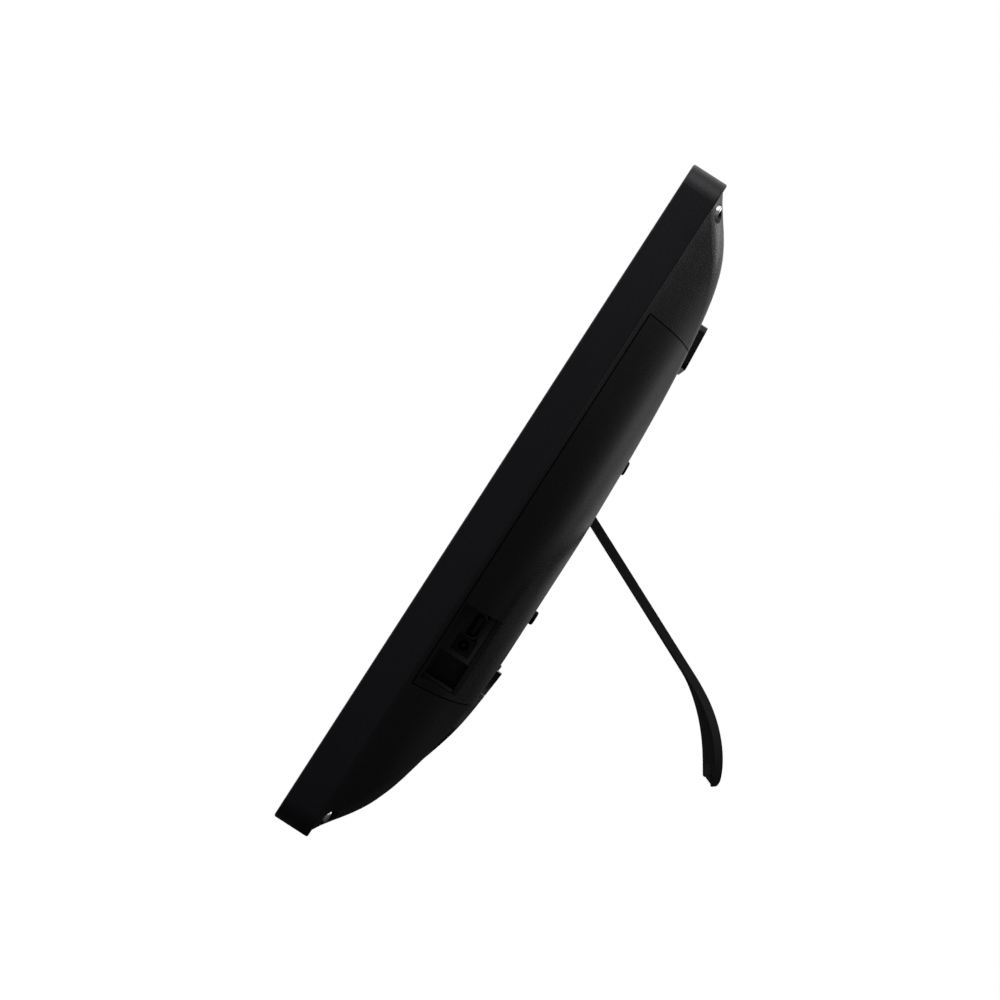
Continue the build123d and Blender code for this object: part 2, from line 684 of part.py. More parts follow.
# ---------------------------------------------------------------- main board
def board_corners():
    """Where the main board's screws go; the lower right one keeps clear of the deep pocket."""
    left = BOARD_X[0] + BOARD_HOLE_INSET
    right = BOARD_X[1] - BOARD_HOLE_INSET
    bottom = BOARD_Z[0] + BOARD_HOLE_INSET
    top = BOARD_Z[1] - BOARD_HOLE_INSET
    return [(left, bottom), (left, top), (right, top), (board_notch() - BOARD_HOLE_INSET, bottom)]


def board_notch():
    """Where the main board's lower right corner is cut away for the deep pocket."""
    return PORT_X - POCKET_DEPTH - RECESS_WALL - FIT


def make_main_board():
    body = block(*BOARD_X, BOARD_Y, BOARD_BACK, *BOARD_Z)
    body -= block(board_notch(), WIDTH, 0, BEHIND, 0, POCKET_TOP + RECESS_WALL)
    for x, z in board_corners():
        body -= post(x, z, SMALL_SCREW_R + FIT, 0, BEHIND)
    return body


def make_board_standoffs():
    hole = SMALL_SCREW_R + THREAD_FIT
    return group([
        post(x, z, STANDOFF_R, TRAY_Y, BOARD_Y) - post(x, z, hole, TRAY_Y + STANDOFF_FLOOR, BEHIND)
        for x, z in board_corners()
    ])


def make_board_screws():
    shank = BOARD_T + STANDOFF_H - SCREW_END_GAP
    return group([
        screw(x, z, BOARD_BACK, shank, SMALL_SCREW_R, SMALL_HEAD_R, SMALL_HEAD_H) for x, z in board_corners()
    ])


def chip(x, z, wide, tall, height):
    """A chip, can or connector on the main board, placed from the board's lower left corner."""
    x += BOARD_X[0]
    z += BOARD_Z[0]
    return block(x - wide / 2, x + wide / 2, BOARD_BACK, BOARD_BACK + height, z - tall / 2, z + tall / 2)


def make_board_chips():
    return group([chip(*place_and_size) for place_and_size in CHIPS])


def make_shield_can():
    """A thin metal can over the processor, with a grid of holes in its lid."""
    inner = SHIELD_W - 2 * SHIELD_T
    can = chip(*SHIELD_PLACE, SHIELD_W, SHIELD_W, SHIELD_H)
    can = fillet(can.edges().filter_by(Axis.Y), SHIELD_CORNER_R)
    can -= chip(*SHIELD_PLACE, inner, inner, SHIELD_H - SHIELD_T)
    x = BOARD_X[0] + SHIELD_PLACE[0]
    z = BOARD_Z[0] + SHIELD_PLACE[1]
    for column in (-SHIELD_HOLE_PITCH, 0, SHIELD_HOLE_PITCH):
        for row in (-SHIELD_HOLE_PITCH, 0, SHIELD_HOLE_PITCH):
            can -= post(x + column, z + row, SHIELD_HOLE_R, BOARD_BACK + SHIELD_H / 2, BEHIND)
    return can


def make_board_capacitors():
    cans = []
    for x, z in CAPACITOR_PLACES:
        can = post(BOARD_X[0] + x, BOARD_Z[0] + z, CAPACITOR_R, BOARD_BACK, BOARD_BACK + CAPACITOR_H)
        cans.append(fillet(can.edges().sort_by(Axis.Y)[-1], CAPACITOR_EDGE_R))
    return group(cans)


def make_lead_sockets():
    """The small speaker connectors at the left edge of the main board."""
    x = LEAD_SOCKET_INSET + LEAD_SOCKET[0] / 2
    return group([chip(x, raise_z, *LEAD_SOCKET) for raise_z in LEAD_SOCKET_RAISE])


def make_usb_socket():
    """A mini USB socket: a thin steel shell round a plastic tongue."""
    length, deep, tall = USB_SIZE
    x0 = PORT_X - length
    middle = BOARD_BACK + deep / 2
    body = block(x0, PORT_X, BOARD_BACK, BOARD_BACK + deep, USB_Z - tall / 2, USB_Z + tall / 2)
    body = chamfer(body.edges().filter_by(Axis.X).group_by(Axis.Y)[-1], USB_CHAMFER)
    half_y = deep / 2 - USB_WALL
    half_z = tall / 2 - USB_WALL
    mouth = block(x0 + USB_BACK_WALL, PORT_X + FIT, middle - half_y, middle + half_y,
                  USB_Z - half_z, USB_Z + half_z)
    mouth = chamfer(mouth.edges().filter_by(Axis.X).group_by(Axis.Y)[-1], USB_CHAMFER)
    half_y = USB_TONGUE[0] / 2
    half_z = USB_TONGUE[1] / 2
    tongue = block(x0 + USB_WALL, PORT_X - USB_TONGUE_INSET, middle - half_y, middle + half_y,
                   USB_Z - half_z, USB_Z + half_z)
    return body - mouth + tongue


def make_dc_jack():
    """A round power socket in a plastic block, with its centre pin."""
    length, deep, tall = DC_SIZE
    front = PORT_X + DC_LIP
    back = front - length
    half_z = tall / 2
    body = block(back, BOARD_X[1] + FIT, BOARD_BACK, BOARD_BACK + deep, DC_Z - half_z, DC_Z + half_z)
    body += block(BOARD_X[1] + FIT, front, SOCKET_Y - DC_COLLAR / 2, SOCKET_Y + DC_COLLAR / 2,
                  DC_Z - half_z, DC_Z + half_z)
    body -= rod(back + DC_BACK_WALL, front + FIT, SOCKET_Y, DC_Z, DC_BORE_R)
    return body + rod(back, front - DC_PIN_INSET, SOCKET_Y, DC_Z, DC_PIN_R)


def recess_room(grow=0.0):
    """The recess in the right flank, from the back of the socket plate out through the side."""
    return block(PORT_X - PORT_PLATE_T, WIDTH, RECESS_FRONT - grow, BEHIND,
                 RECESS_BOTTOM - grow, RECESS_TOP + grow)


def socket_room():
    """Room for the two sockets behind their plate."""
    reach = USB_SIZE[0] + FIT
    return block(PORT_X - reach, PORT_X, BEZEL_DEPTH, SOCKET_Y + DC_COLLAR / 2 + FIT,
                 DC_Z - DC_SIZE[2] / 2 - FIT, USB_Z + USB_SIZE[2] / 2 + FIT)


def pocket_room(grow=0.0):
    """The deep pocket beside the power socket, where an angled plug's head sits."""
    return block(PORT_X - POCKET_DEPTH - grow, WIDTH, POCKET_FRONT - grow, BEHIND,
                 POCKET_BOTTOM - grow, POCKET_TOP + grow)


def make_port_plate():
    """The plate at the bottom of the recess, with the sockets' openings."""
    ceiling = shell_form(PANEL_T + FIT)
    body = block(PORT_X - PORT_PLATE_T, PORT_X, RECESS_FRONT + FIT, BEHIND,
                 RECESS_BOTTOM + FIT, RECESS_TOP - FIT) & ceiling
    body -= pocket_room()
    half_z = USB_SIZE[2] / 2 + FIT
    body -= block(0, WIDTH, BOARD_BACK - FIT, BOARD_BACK + USB_SIZE[1] + FIT, USB_Z - half_z, USB_Z + half_z)
    half_y = DC_COLLAR / 2 + FIT
    half_z = DC_SIZE[2] / 2 + FIT
    return body - block(0, WIDTH, SOCKET_Y - half_y, SOCKET_Y + half_y, DC_Z - half_z, DC_Z + half_z)


# ---------------------------------------------------------------- key board, card socket, buttons
def key_points():
    return [(KEY_X, KEY_BOTTOM + index * KEY_PITCH) for index in range(len(KEY_NAMES))]


def key_board_posts():
    """The two posts inside the shell that the key board is screwed to."""
    x = KEY_BOARD_X[1] - BOARD_HOLE_INSET
    return [(x, KEY_BOARD_Z[0] + BOARD_HOLE_INSET), (x, KEY_BOARD_Z[1] - BOARD_HOLE_INSET)]


def make_key_board():
    body = block(*KEY_BOARD_X, KEY_BOARD_Y, KEY_BACK, *KEY_BOARD_Z)
    for x, z in key_board_posts():
        body -= post(x, z, SMALL_SCREW_R + FIT, 0, BEHIND)
    return body


def make_key_board_screws():
    """Screws that come from the front, so their heads lie on the key board's front face."""
    screws = []
    for x, z in key_board_posts():
        head = post(x, z, SMALL_HEAD_R, KEY_BOARD_Y - SMALL_HEAD_H, KEY_BOARD_Y)
        head = fillet(head.edges().sort_by(Axis.Y)[0], SMALL_HEAD_H * HEAD_ROUNDING)
        screws.append(head + post(x, z, SMALL_SCREW_R, KEY_BOARD_Y, KEY_BACK + KEY_SCREW_BITE))
    return group(screws)


def make_key_switches():
    switches = []
    for x, z in key_points():
        half = SWITCH_W / 2
        body = block(x - half, x + half, KEY_BACK, KEY_BACK + SWITCH_H, z - half, z + half)
        body = fillet(body.edges().filter_by(Axis.Y), SWITCH_CORNER_R)
        top = KEY_BACK + SWITCH_H
        switches.append(body - post(x, z, KEY_STEM_R + KEY_FIT, top - SWITCH_WELL, BEHIND))
    return group(switches)


def make_button(x, z):
    """A push button: a cap flush with the back's curve, a flange under it and a stem."""
    cap_form = shell_form(-KEY_PROUD)
    flange_y = KEY_BACK + SWITCH_H + KEY_TRAVEL + FIT
    cap = post(x, z, KEY_R, flange_y, BEHIND) & cap_form
    cap = fillet(cap.edges().sort_by(Axis.Y)[-1], KEY_EDGE_R)
    flange = post(x, z, KEY_FLANGE_R, flange_y, flange_y + KEY_FLANGE_T)
    top = KEY_BACK + SWITCH_H
    stem = post(x, z, KEY_STEM_R, top - SWITCH_WELL + KEY_TRAVEL + FIT, flange_y)
    return cap + flange + stem


def make_card_socket():
    """The memory card socket on the front of the key board, open towards the left flank."""
    length, deep, tall = CARD_SOCKET
    x0 = CARD_MOUTH_INSET - WIDTH / 2
    y1 = KEY_BOARD_Y
    body = block(x0, x0 + length, y1 - deep, y1, CARD_Z - tall / 2, CARD_Z + tall / 2)
    wall = (tall - CARD_SLOT_W) / 2
    centre = y1 - deep / 2
    half = deep / 2 - CARD_WALL
    return body - block(x0 - FIT, x0 + length - wall, centre - half, centre + half,
                        CARD_Z - CARD_SLOT_W / 2, CARD_Z + CARD_SLOT_W / 2)


def card_room(grow=0.0):
    """The slot through the left flank that a memory card goes in by."""
    x0 = CARD_MOUTH_INSET - WIDTH / 2 - FIT
    centre = KEY_BOARD_Y - CARD_SOCKET[1] / 2
    half = CARD_SLOT_T / 2 + CARD_FLARE + grow
    wide = CARD_SLOT_W / 2 + CARD_FLARE + grow
    return block(-WIDTH / 2, x0, centre - half, centre + half, CARD_Z - wide, CARD_Z + wide)


# ---------------------------------------------------------------- sound, leads, ribbon
def make_speaker(side):
    """A small round speaker: steel basket and magnet behind a domed cone."""
    x = side * SPEAKER_X
    back = SPEAKER_SEAT - SPEAKER_T
    rim = SPEAKER_SEAT - SPEAKER_RIM
    cone = SPEAKER_SEAT - SPEAKER_CONE_SINK
    body = post(x, SPEAKER_Z, SPEAKER_R, rim, SPEAKER_SEAT)
    body += post(x, SPEAKER_Z, SPEAKER_BASKET_R, back + SPEAKER_BASKET_RISE, rim)
    body += post(x, SPEAKER_Z, SPEAKER_MAGNET_R, back, rim)
    body -= post(x, SPEAKER_Z, SPEAKER_CONE_R, cone, BEHIND)
    dome = Pos(x, cone, SPEAKER_Z) * Sphere(SPEAKER_DOME_R)
    return body + (dome & post(x, SPEAKER_Z, SPEAKER_DOME_R, rim, SPEAKER_SEAT - FIT))


def lead(points):
    """A thin lead along straight runs with round bends, as large as the runs allow."""
    radii = []
    for before, here, after in zip(points, points[1:], points[2:]):
        run_in = Vector(*here) - Vector(*before)
        run_out = Vector(*after) - Vector(*here)
        turn = radians(run_in.get_angle(run_out))
        radii.append(BEND_SHARE * min(run_in.length, run_out.length) / tan(turn / 2))
    path = FilletPolyline(*points, radius=radii)
    return sweep(Plane(path @ 0, z_dir=path % 0) * Circle(LEAD_R), path=path)


def make_speaker_leads():
    """A lead for each speaker, from behind its magnet down to the main board's left edge."""
    run_y = TRAY_Y + LEAD_LIFT
    magnet_y = SPEAKER_SEAT - SPEAKER_T - FIT - LEAD_R
    socket_y = BOARD_BACK + LEAD_SOCKET[2] / 2
    leave, gather, settle = LEAD_BENDS
    leads = []
    for side, raise_z in zip((-1, 1), LEAD_SOCKET_RAISE):
        z = BOARD_Z[0] + raise_z
        magnet_x = side * (SPEAKER_X - LEAD_START)
        column_x = BOARD_X[0] - LEAD_COLUMN + side * LEAD_SPREAD
        leads.append(lead([
            (magnet_x, magnet_y, SPEAKER_Z),
            (magnet_x - side, run_y, SPEAKER_Z - SPEAKER_MAGNET_R),
            (magnet_x - side * leave / 2, run_y, BOARD_Z[1] + leave),
            (column_x + side * settle, run_y, BOARD_Z[1] + gather),
            (column_x, run_y, z + settle),
            (column_x + settle / 4, socket_y, z),
            (BOARD_X[0] + LEAD_SOCKET_INSET, socket_y, z),
        ]))
    return group(leads)


def ribbon(points, width, z):
    """A flat flexible ribbon that lies across the frame and bends over the given points."""
    path = FilletPolyline(*points, radius=RIBBON_BEND)
    return Pos(0, 0, z - width / 2) * extrude(Plane.XY * trace(path, RIBBON_T), width)


def ribbon_socket(x0, y0, width, z, mouth):
    """A ribbon connector; its mouth is at one end of its length, -1 left or 1 right."""
    length, height = RIBBON_SOCKET
    half_z = width / 2 + RIBBON_MARGIN
    body = block(x0, x0 + length, y0, y0 + height, z - half_z, z + half_z)
    half_y = RIBBON_T / 2 + FIT / 2
    half_z = width / 2 + FIT
    slot_x = x0 + mouth * length / 3
    return body - block(slot_x, slot_x + length, y0 + RIBBON_LIFT - half_y, y0 + RIBBON_LIFT + half_y,
                        z - half_z, z + half_z)


def make_lcd_ribbon():
    """From the back of the screen over the main board's left edge."""
    flat = TRAY_Y + RIBBON_T / 2 + FIT / 2
    top = BOARD_BACK + RIBBON_LIFT
    edge = BOARD_X[0] - RIBBON_GAP
    end = BOARD_X[0] + RIBBON_INSET + RIBBON_SOCKET[0] / 2
    return ribbon([(edge - RIBBON_RUN, flat), (edge, flat), (edge, top), (end, top)], RIBBON_W, BOARD_Z[0] + RIBBON_RAISE)


def make_key_ribbon():
    """From the key board across to the main board's left edge."""
    high = KEY_BACK + RIBBON_LIFT
    low = BOARD_BACK + RIBBON_LIFT
    start = KEY_BOARD_X[1] - RIBBON_SOCKET[0] / 2
    end = BOARD_X[0] + RIBBON_INSET + RIBBON_SOCKET[0] / 2
    first, last = KEY_RIBBON_STRAIGHT
    points = [(start, high), (start + first, high), (end - last, low), (end, low)]
    return ribbon(points, KEY_RIBBON_W, BOARD_Z[0] + KEY_RIBBON_RAISE)


def make_ribbon_sockets():
    x0 = BOARD_X[0] + RIBBON_INSET
    key_x = KEY_BOARD_X[1] - RIBBON_SOCKET[0]
    key_z = BOARD_Z[0] + KEY_RIBBON_RAISE
    return group([
        ribbon_socket(x0, BOARD_BACK, RIBBON_W, BOARD_Z[0] + RIBBON_RAISE, -1),
        ribbon_socket(x0, BOARD_BACK, KEY_RIBBON_W, key_z, -1),
        ribbon_socket(key_x, KEY_BACK, KEY_RIBBON_W, key_z, 1),
    ])


# ---------------------------------------------------------------- back
def boss_side():
    """Side view of the hanging boss, with its slightly sloping back face."""
    return Plane.YZ * make_face(Polyline(
        (BOSS_FLOOR - RECESS_WALL, BOSS_BOTTOM), (BOSS_Y_LOW, BOSS_BOTTOM),
        (BOSS_Y_HIGH, BOSS_TOP), (BOSS_FLOOR - RECESS_WALL, BOSS_TOP), close=True))


def hanging_boss():
    body = extrude(boss_side(), BOSS_W / 2, both=True)
    return fillet(body.edges().filter_by(Axis.Y), BOSS_CORNER_R)


def keyhole_room():
    """The keyhole and the hollow behind it, for the head of a wall screw."""
    z = BOSS_BOTTOM + KEYHOLE_R + KEYHOLE_EDGE
    wide = KEYHOLE_R + KEYHOLE_SIDE
    face_y = (BOSS_Y_LOW + BOSS_Y_HIGH) / 2
    hollow = block(-wide, wide, BOSS_FLOOR, face_y - KEYHOLE_WALL, z - wide, BOSS_TOP - KEYHOLE_EDGE)
    entry = post(0, z, KEYHOLE_R, BOSS_FLOOR, BEHIND)
    long = KEYHOLE_RISE + 2 * KEYHOLE_SLOT_R
    neck = slot(0, z + KEYHOLE_RISE / 2, 2 * KEYHOLE_SLOT_R, long, BOSS_FLOOR, BEHIND)
    return hollow + entry + neck


def speaker_cup(side):
    """The ring inside the shell that holds a speaker, before its bore is cut."""
    cup = post(side * SPEAKER_X, SPEAKER_Z, SPEAKER_R + FIT + SPEAKER_CUP_T, SPEAKER_SEAT - SPEAKER_T, BEHIND)
    return cup & SHELL_SKIN


def speaker_bore(side):
    x = side * SPEAKER_X
    bore = post(x, SPEAKER_Z, SPEAKER_R + FIT, 0, SPEAKER_SEAT)
    return bore + (post(x, SPEAKER_Z, SPEAKER_BASKET_R, 0, BEHIND) & INNER)


def speaker_grille(side):
    """The slots in the shell over a speaker, longer towards the middle."""
    slots = []
    for index in range(GRILLE_SLOTS):
        offset = (index - (GRILLE_SLOTS - 1) / 2) * GRILLE_PITCH
        length = 2 * sqrt(SPEAKER_CONE_R ** 2 - offset ** 2)
        slots.append(slot(side * SPEAKER_X, SPEAKER_Z + offset, length, GRILLE_SLOT, 0, BEHIND))
    return slots


def make_rear_shell():
    body = SHELL_SKIN - INNER
    body += leg_pocket_walls()
    for x, z in key_board_posts():
        body += post(x, z, STANDOFF_R, KEY_BACK, BEHIND) & SHELL_SKIN
    body += (recess_room(RECESS_WALL) + pocket_room(RECESS_WALL)) & SHELL_SKIN
    body += card_room(RECESS_WALL) & SHELL_SKIN
    for x, z in corner_points(*SCREW_INSET):
        body += post(x, z, SCREW_WELL_R + RECESS_WALL, BEZEL_DEPTH, BEHIND) & SHELL_SKIN
        body -= post(x, z, SCREW_WELL_R, SCREW_SEAT, BEHIND)
        body += post(x, z, SEAT_BOSS_R, CORNER_BOSS_TOP, SCREW_SEAT)
        body -= post(x, z, SCREW_R + FIT, 0, BEHIND)
    for side in (-1, 1):
        body += speaker_cup(side)
        body -= speaker_bore(side)
        for opening in speaker_grille(side):
            body -= opening
    body += pocket_rim(0, PANEL_BOTTOM - PANEL_SEAM)
    body += hanging_boss()
    body -= keyhole_room()
    body -= leg_room()
    body -= recess_room() + pocket_room() + socket_room()
    body -= card_room()
    for x, z in key_points():
        body -= post(x, z, KEY_R + KEY_FIT, KEY_BACK, BEHIND)
    for x, z in key_board_posts():
        body -= post(x, z, SMALL_SCREW_R + THREAD_FIT, 0, KEY_BACK + KEY_SCREW_BITE + SCREW_END_GAP)
    for side in (-1, 1):
        z = HINGE_Z - BRACKET_SCREW_DROP
        body -= post(side * BRACKET_SCREW_X, z, SMALL_SCREW_R + THREAD_FIT, 0, BEHIND)
    return body


def bumper_points():
    return [(side * BUMPER_X, z) for side in (-1, 1) for z in BUMPER_Z]


def make_back_panel():
    body = (OUTER - UNDER_PANEL) & panel_zone(0)
    body += pocket_rim(PANEL_BOTTOM, RIM_TOP)
    body -= leg_room()
    body -= recess_room()
    body -= card_room()
    for x, z in key_points():
        body -= post(x, z, KEY_R + KEY_FIT, KEY_BACK, BEHIND)
    for x, z in bumper_points():
        body -= post(x, z, BUMPER_R + FIT / 2, 0, BEHIND)
    return body


def make_wall_bumpers():
    bumpers = []
    for x, z in bumper_points():
        dome = post(x, z, BUMPER_R, BEZEL_DEPTH, BEHIND) & shell_form(-BUMPER_PROUD)
        dome = fillet(dome.edges().sort_by(Axis.Y)[-1], BUMPER_EDGE_R)
        bumpers.append(dome - shell_form(PANEL_T))
    return group(bumpers)


def make_corner_screws():
    shank = SCREW_SEAT - BEZEL_FACE - SCREW_END_GAP
    return group([
        screw(x, z, SCREW_SEAT, shank, SCREW_R, SCREW_HEAD_R, SCREW_HEAD_H)
        for x, z in corner_points(*SCREW_INSET)
    ])


# ---------------------------------------------------------------- all pieces
PIECES = {
    "front_bezel": make_front_bezel(),
    "front_window": make_front_window(),
    "lcd_gasket": make_lcd_gasket(),
    "lcd_glass": make_lcd_glass(),
    "lcd_backlight": make_lcd_backlight(),
    "lcd_tray": make_lcd_tray(),
    "lcd_brackets": make_lcd_brackets(),
    "lcd_bracket_screws": make_lcd_bracket_screws(),
    "lcd_ribbon": make_lcd_ribbon(),
    "main_board": make_main_board(),
    "board_standoffs": make_board_standoffs(),
    "board_screws": make_board_screws(),
    "board_chips": make_board_chips(),
    "shield_can": make_shield_can(),
    "board_capacitors": make_board_capacitors(),
    "lead_sockets": make_lead_sockets(),
    "ribbon_sockets": make_ribbon_sockets(),
    "key_ribbon": make_key_ribbon(),
    "usb_socket": make_usb_socket(),
    "dc_jack": make_dc_jack(),
    "port_plate": make_port_plate(),
    "key_board": make_key_board(),
    "key_board_screws": make_key_board_screws(),
    "key_switches": make_key_switches(),
    "card_socket": make_card_socket(),
    "speaker_left": make_speaker(-1),
    "speaker_right": make_speaker(1),
    "speaker_leads": make_speaker_leads(),
    "rear_shell": make_rear_shell(),
    "back_panel": make_back_panel(),
    "wall_bumpers": make_wall_bumpers(),
    "corner_screws": make_corner_screws(),
    "hinge_bracket": make_hinge_bracket(),
    "hinge_screws": make_hinge_screws(),
    "hinge_pin": make_hinge_pin(),
    "hinge_washers": make_hinge_washers(),
    "stand_leg": make_stand_leg(),
    "stand_foot_pad": make_stand_foot_pad(),
}
for name, (x, z) in zip(KEY_NAMES, key_points()):
    PIECES["button_" + name] = make_button(x, z)

# Lean the whole frame back and centre it over the origin.
leaning = {name: Rot(-LEAN, 0, 0) * piece for name, piece in PIECES.items()}
reach = Compound(children=[Compound(children=piece.solids()) for piece in leaning.values()]).bounding_box()
SHIFT_Y = -(reach.min.Y + reach.max.Y) / 2


def place(piece):
    """Moves a piece from the upright frame to where the leaning frame stands on the table."""
    return Pos(0, SHIFT_Y, DROP) * Rot(-LEAN, 0, 0) * piece


os.makedirs("parts", exist_ok=True)
for name, piece in PIECES.items():
    export_step(Compound(children=place(piece).solids()), f"parts/{name}.step")
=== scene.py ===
import json
import math

import bmesh
import bpy
from mathutils import Euler, Matrix, Vector
from mathutils.bvhtree import BVHTree


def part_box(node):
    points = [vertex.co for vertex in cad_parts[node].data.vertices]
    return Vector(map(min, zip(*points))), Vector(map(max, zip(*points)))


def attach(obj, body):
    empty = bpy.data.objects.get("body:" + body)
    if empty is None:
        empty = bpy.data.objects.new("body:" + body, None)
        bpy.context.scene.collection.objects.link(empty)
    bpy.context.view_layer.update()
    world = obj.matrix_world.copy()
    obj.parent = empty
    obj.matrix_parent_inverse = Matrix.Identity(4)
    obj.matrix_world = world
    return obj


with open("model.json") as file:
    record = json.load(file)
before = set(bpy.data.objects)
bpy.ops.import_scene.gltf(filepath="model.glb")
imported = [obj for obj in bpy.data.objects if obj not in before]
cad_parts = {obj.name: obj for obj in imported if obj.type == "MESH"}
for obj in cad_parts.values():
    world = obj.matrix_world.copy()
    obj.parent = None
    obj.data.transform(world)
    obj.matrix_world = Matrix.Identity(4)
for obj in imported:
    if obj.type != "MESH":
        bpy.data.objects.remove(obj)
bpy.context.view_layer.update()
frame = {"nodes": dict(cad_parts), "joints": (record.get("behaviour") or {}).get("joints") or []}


# ------------------------------------------------------------------ table, light and camera
# A white table under a white surround, with one soft lamp low behind the frame, one above on its
# right and a large one in front. The camera stands level with the table, at the frame's right side.
CAMERA_AWAY = 0.5466        # from the frame's right edge to the lens
CAMERA_BEHIND = 0.00325     # how far the camera stands behind the window's middle
CAMERA_HEIGHT = 0.0797
FOCAL_LENGTH = 83.86
LAMPS = {
    # place, the point it looks at, its two sides in metres, and its power in watts
    "lamp_behind": ((-0.10, 0.55, 0.15), (0.10, 0.05, 0.12), (0.45, 0.26), 1.3),
    "lamp_right": ((0.34, 0.12, 0.40), (0.08, 0.03, 0.14), (0.35, 0.25), 0.9),
    "lamp_front": ((-0.5, -1.2, 0.9), (0, 0, 0.08), (1.2, 1.2), 9.0),
}
SURROUND_LIGHT = 0.25       # what the surround gives to a matt surface
WALL_SHINE = 0.03           # how bright the wall that faces the frame's right flank is in gloss
BACKDROP_SHINE = 0.60       # the same for the lit wall on the left
CEILING_SHINE = 1.2
FLOOR_SHINE = 0.283         # the same for the table, where a painted shadow round the frame's middle ends
PAINTED_SHADOW_REACH = (0.12, 0.50) # from the frame's middle: where that painted shadow starts to fade, and ends
FLOOR_WHITE = 0.12
FLOOR_GLOW = 0.94           # share of the table's white that shows whatever shadow falls on it
FLOOR_STRENGTH = 1.06       # brings that share back up to plain white
TABLE_SIZE = 40
CEILING_RISE = (0.1, 0.85)  # from how steeply up gloss starts to see the ceiling, to all of it
BACKDROP_TURN = (-0.3, 0.8) # the same to the left, for the lit wall


def look_at(thing, target):
    """Turns a lamp or camera so that it points at a place."""
    direction = Vector(target) - thing.location
    thing.rotation_euler = direction.to_track_quat("-Z", "Y").to_euler()


def make_camera():
    low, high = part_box("front_window")
    data = bpy.data.cameras.new("camera")
    data.lens = FOCAL_LENGTH
    camera = bpy.data.objects.new("camera", data)
    bpy.context.scene.collection.objects.link(camera)
    right_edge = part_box("front_bezel")[1].x
    middle_y = (low.y + high.y) / 2
    camera.location = (right_edge + CAMERA_AWAY, middle_y + CAMERA_BEHIND, CAMERA_HEIGHT)
    camera.rotation_euler = Euler((math.radians(90), 0, math.radians(90)))
    bpy.context.scene.camera = camera


def make_lamps():
    for name, (place, target, (wide, tall), power) in LAMPS.items():
        data = bpy.data.lights.new(name, "AREA")
        data.shape = "RECTANGLE"
        data.size = wide
        data.size_y = tall
        data.energy = power
        lamp = bpy.data.objects.new(name, data)
        lamp.location = place
        look_at(lamp, target)
        bpy.context.scene.collection.objects.link(lamp)


class Value:
    """A number, colour or direction that changes over a surface: one output socket of a node."""

    def __init__(self, sheet, socket):
        self.sheet = sheet
        self.socket = socket

    def math(self, operation, *others):
        return self.sheet.node("ShaderNodeMath", {"operation": operation}, (self, *others))

    def __add__(self, other):
        return self.math("ADD", other)

    def __radd__(self, other):
        return self.math("ADD", other)

    def __sub__(self, other):
        return self.math("SUBTRACT", other)

    def __rsub__(self, other):
        return self.sheet.node("ShaderNodeMath", {"operation": "SUBTRACT"}, (other, self))

    def __mul__(self, other):
        return self.math("MULTIPLY", other)

    def __truediv__(self, other):
        return self.math("DIVIDE", other)

    def __lt__(self, other):
        return self.math("LESS_THAN", other)

    def __gt__(self, other):
        return self.math("GREATER_THAN", other)

    def size(self):
        return self.math("ABSOLUTE")

    def smooth(self, low, high):
        """0 below low, 1 above high, and a soft step between them."""
        inputs = {"Value": self, "From Min": low, "From Max": high}
        return self.sheet.node("ShaderNodeMapRange", {"interpolation_type": "SMOOTHSTEP"}, inputs)


class Sheet:
    """The node tree of a material or of the surround, with the nodes that its finish is made of."""

    def __init__(self, tree):
        self.tree = tree
        tree.nodes.clear()

    def node(self, kind, settings=None, inputs=None, output=0):
        """Adds a node: its settings first, then a value or a link for each of its sockets."""
        node = self.tree.nodes.new(kind)
        for name, setting in (settings or {}).items():
            setattr(node, name, setting)
        pairs = inputs.items() if isinstance(inputs, dict) else enumerate(inputs or ())
        for name, given in pairs:
            if isinstance(given, Value):
                self.tree.links.new(given.socket, node.inputs[name])
            else:
                node.inputs[name].default_value = given
        return Value(self, node.outputs[output]) if node.outputs else node

    def mix(self, share, first, second):
        """A colour between two, by share. The node repeats its sockets' names, so they go by number."""
        settings = {"data_type": "RGBA"}
        inputs = {0: share, 6: self.colour(first), 7: self.colour(second)}
        return self.node("ShaderNodeMix", settings, inputs, 2)

    def colour(self, given):
        return given if isinstance(given, Value) else (*given, 1.0)


def make_surround():
    """White where it is seen, also through glass. Gloss shows each side of it as bright as it is."""
    world = bpy.data.worlds.new("surround")
    world.use_nodes = True
    bpy.context.scene.world = world
    sheet = Sheet(world.node_tree)
    seen = sheet.node("ShaderNodeLightPath", output="Is Camera Ray")
    mirrored = sheet.node("ShaderNodeLightPath", output="Is Glossy Ray")
    through = sheet.node("ShaderNodeLightPath", output="Is Transmission Ray")
    toward = sheet.node("ShaderNodeTexCoord", output="Generated")
    ceiling = sheet.node("ShaderNodeSeparateXYZ", inputs=(toward,), output=2).smooth(*CEILING_RISE)
    backdrop = (0 - sheet.node("ShaderNodeSeparateXYZ", inputs=(toward,))).smooth(*BACKDROP_TURN)
    wall = WALL_SHINE + backdrop * (BACKDROP_SHINE - WALL_SHINE)
    reflected = mirrored * (wall + ceiling * CEILING_SHINE)
    lit = (1 - seen - mirrored - through).math("MAXIMUM", 0.0) * SURROUND_LIGHT
    strength = (seen + through).math("MINIMUM", 1.0) + reflected + lit
    light = sheet.node("ShaderNodeBackground", inputs={"Color": (1, 1, 1, 1), "Strength": strength})
    sheet.node("ShaderNodeOutputWorld", inputs={"Surface": light})


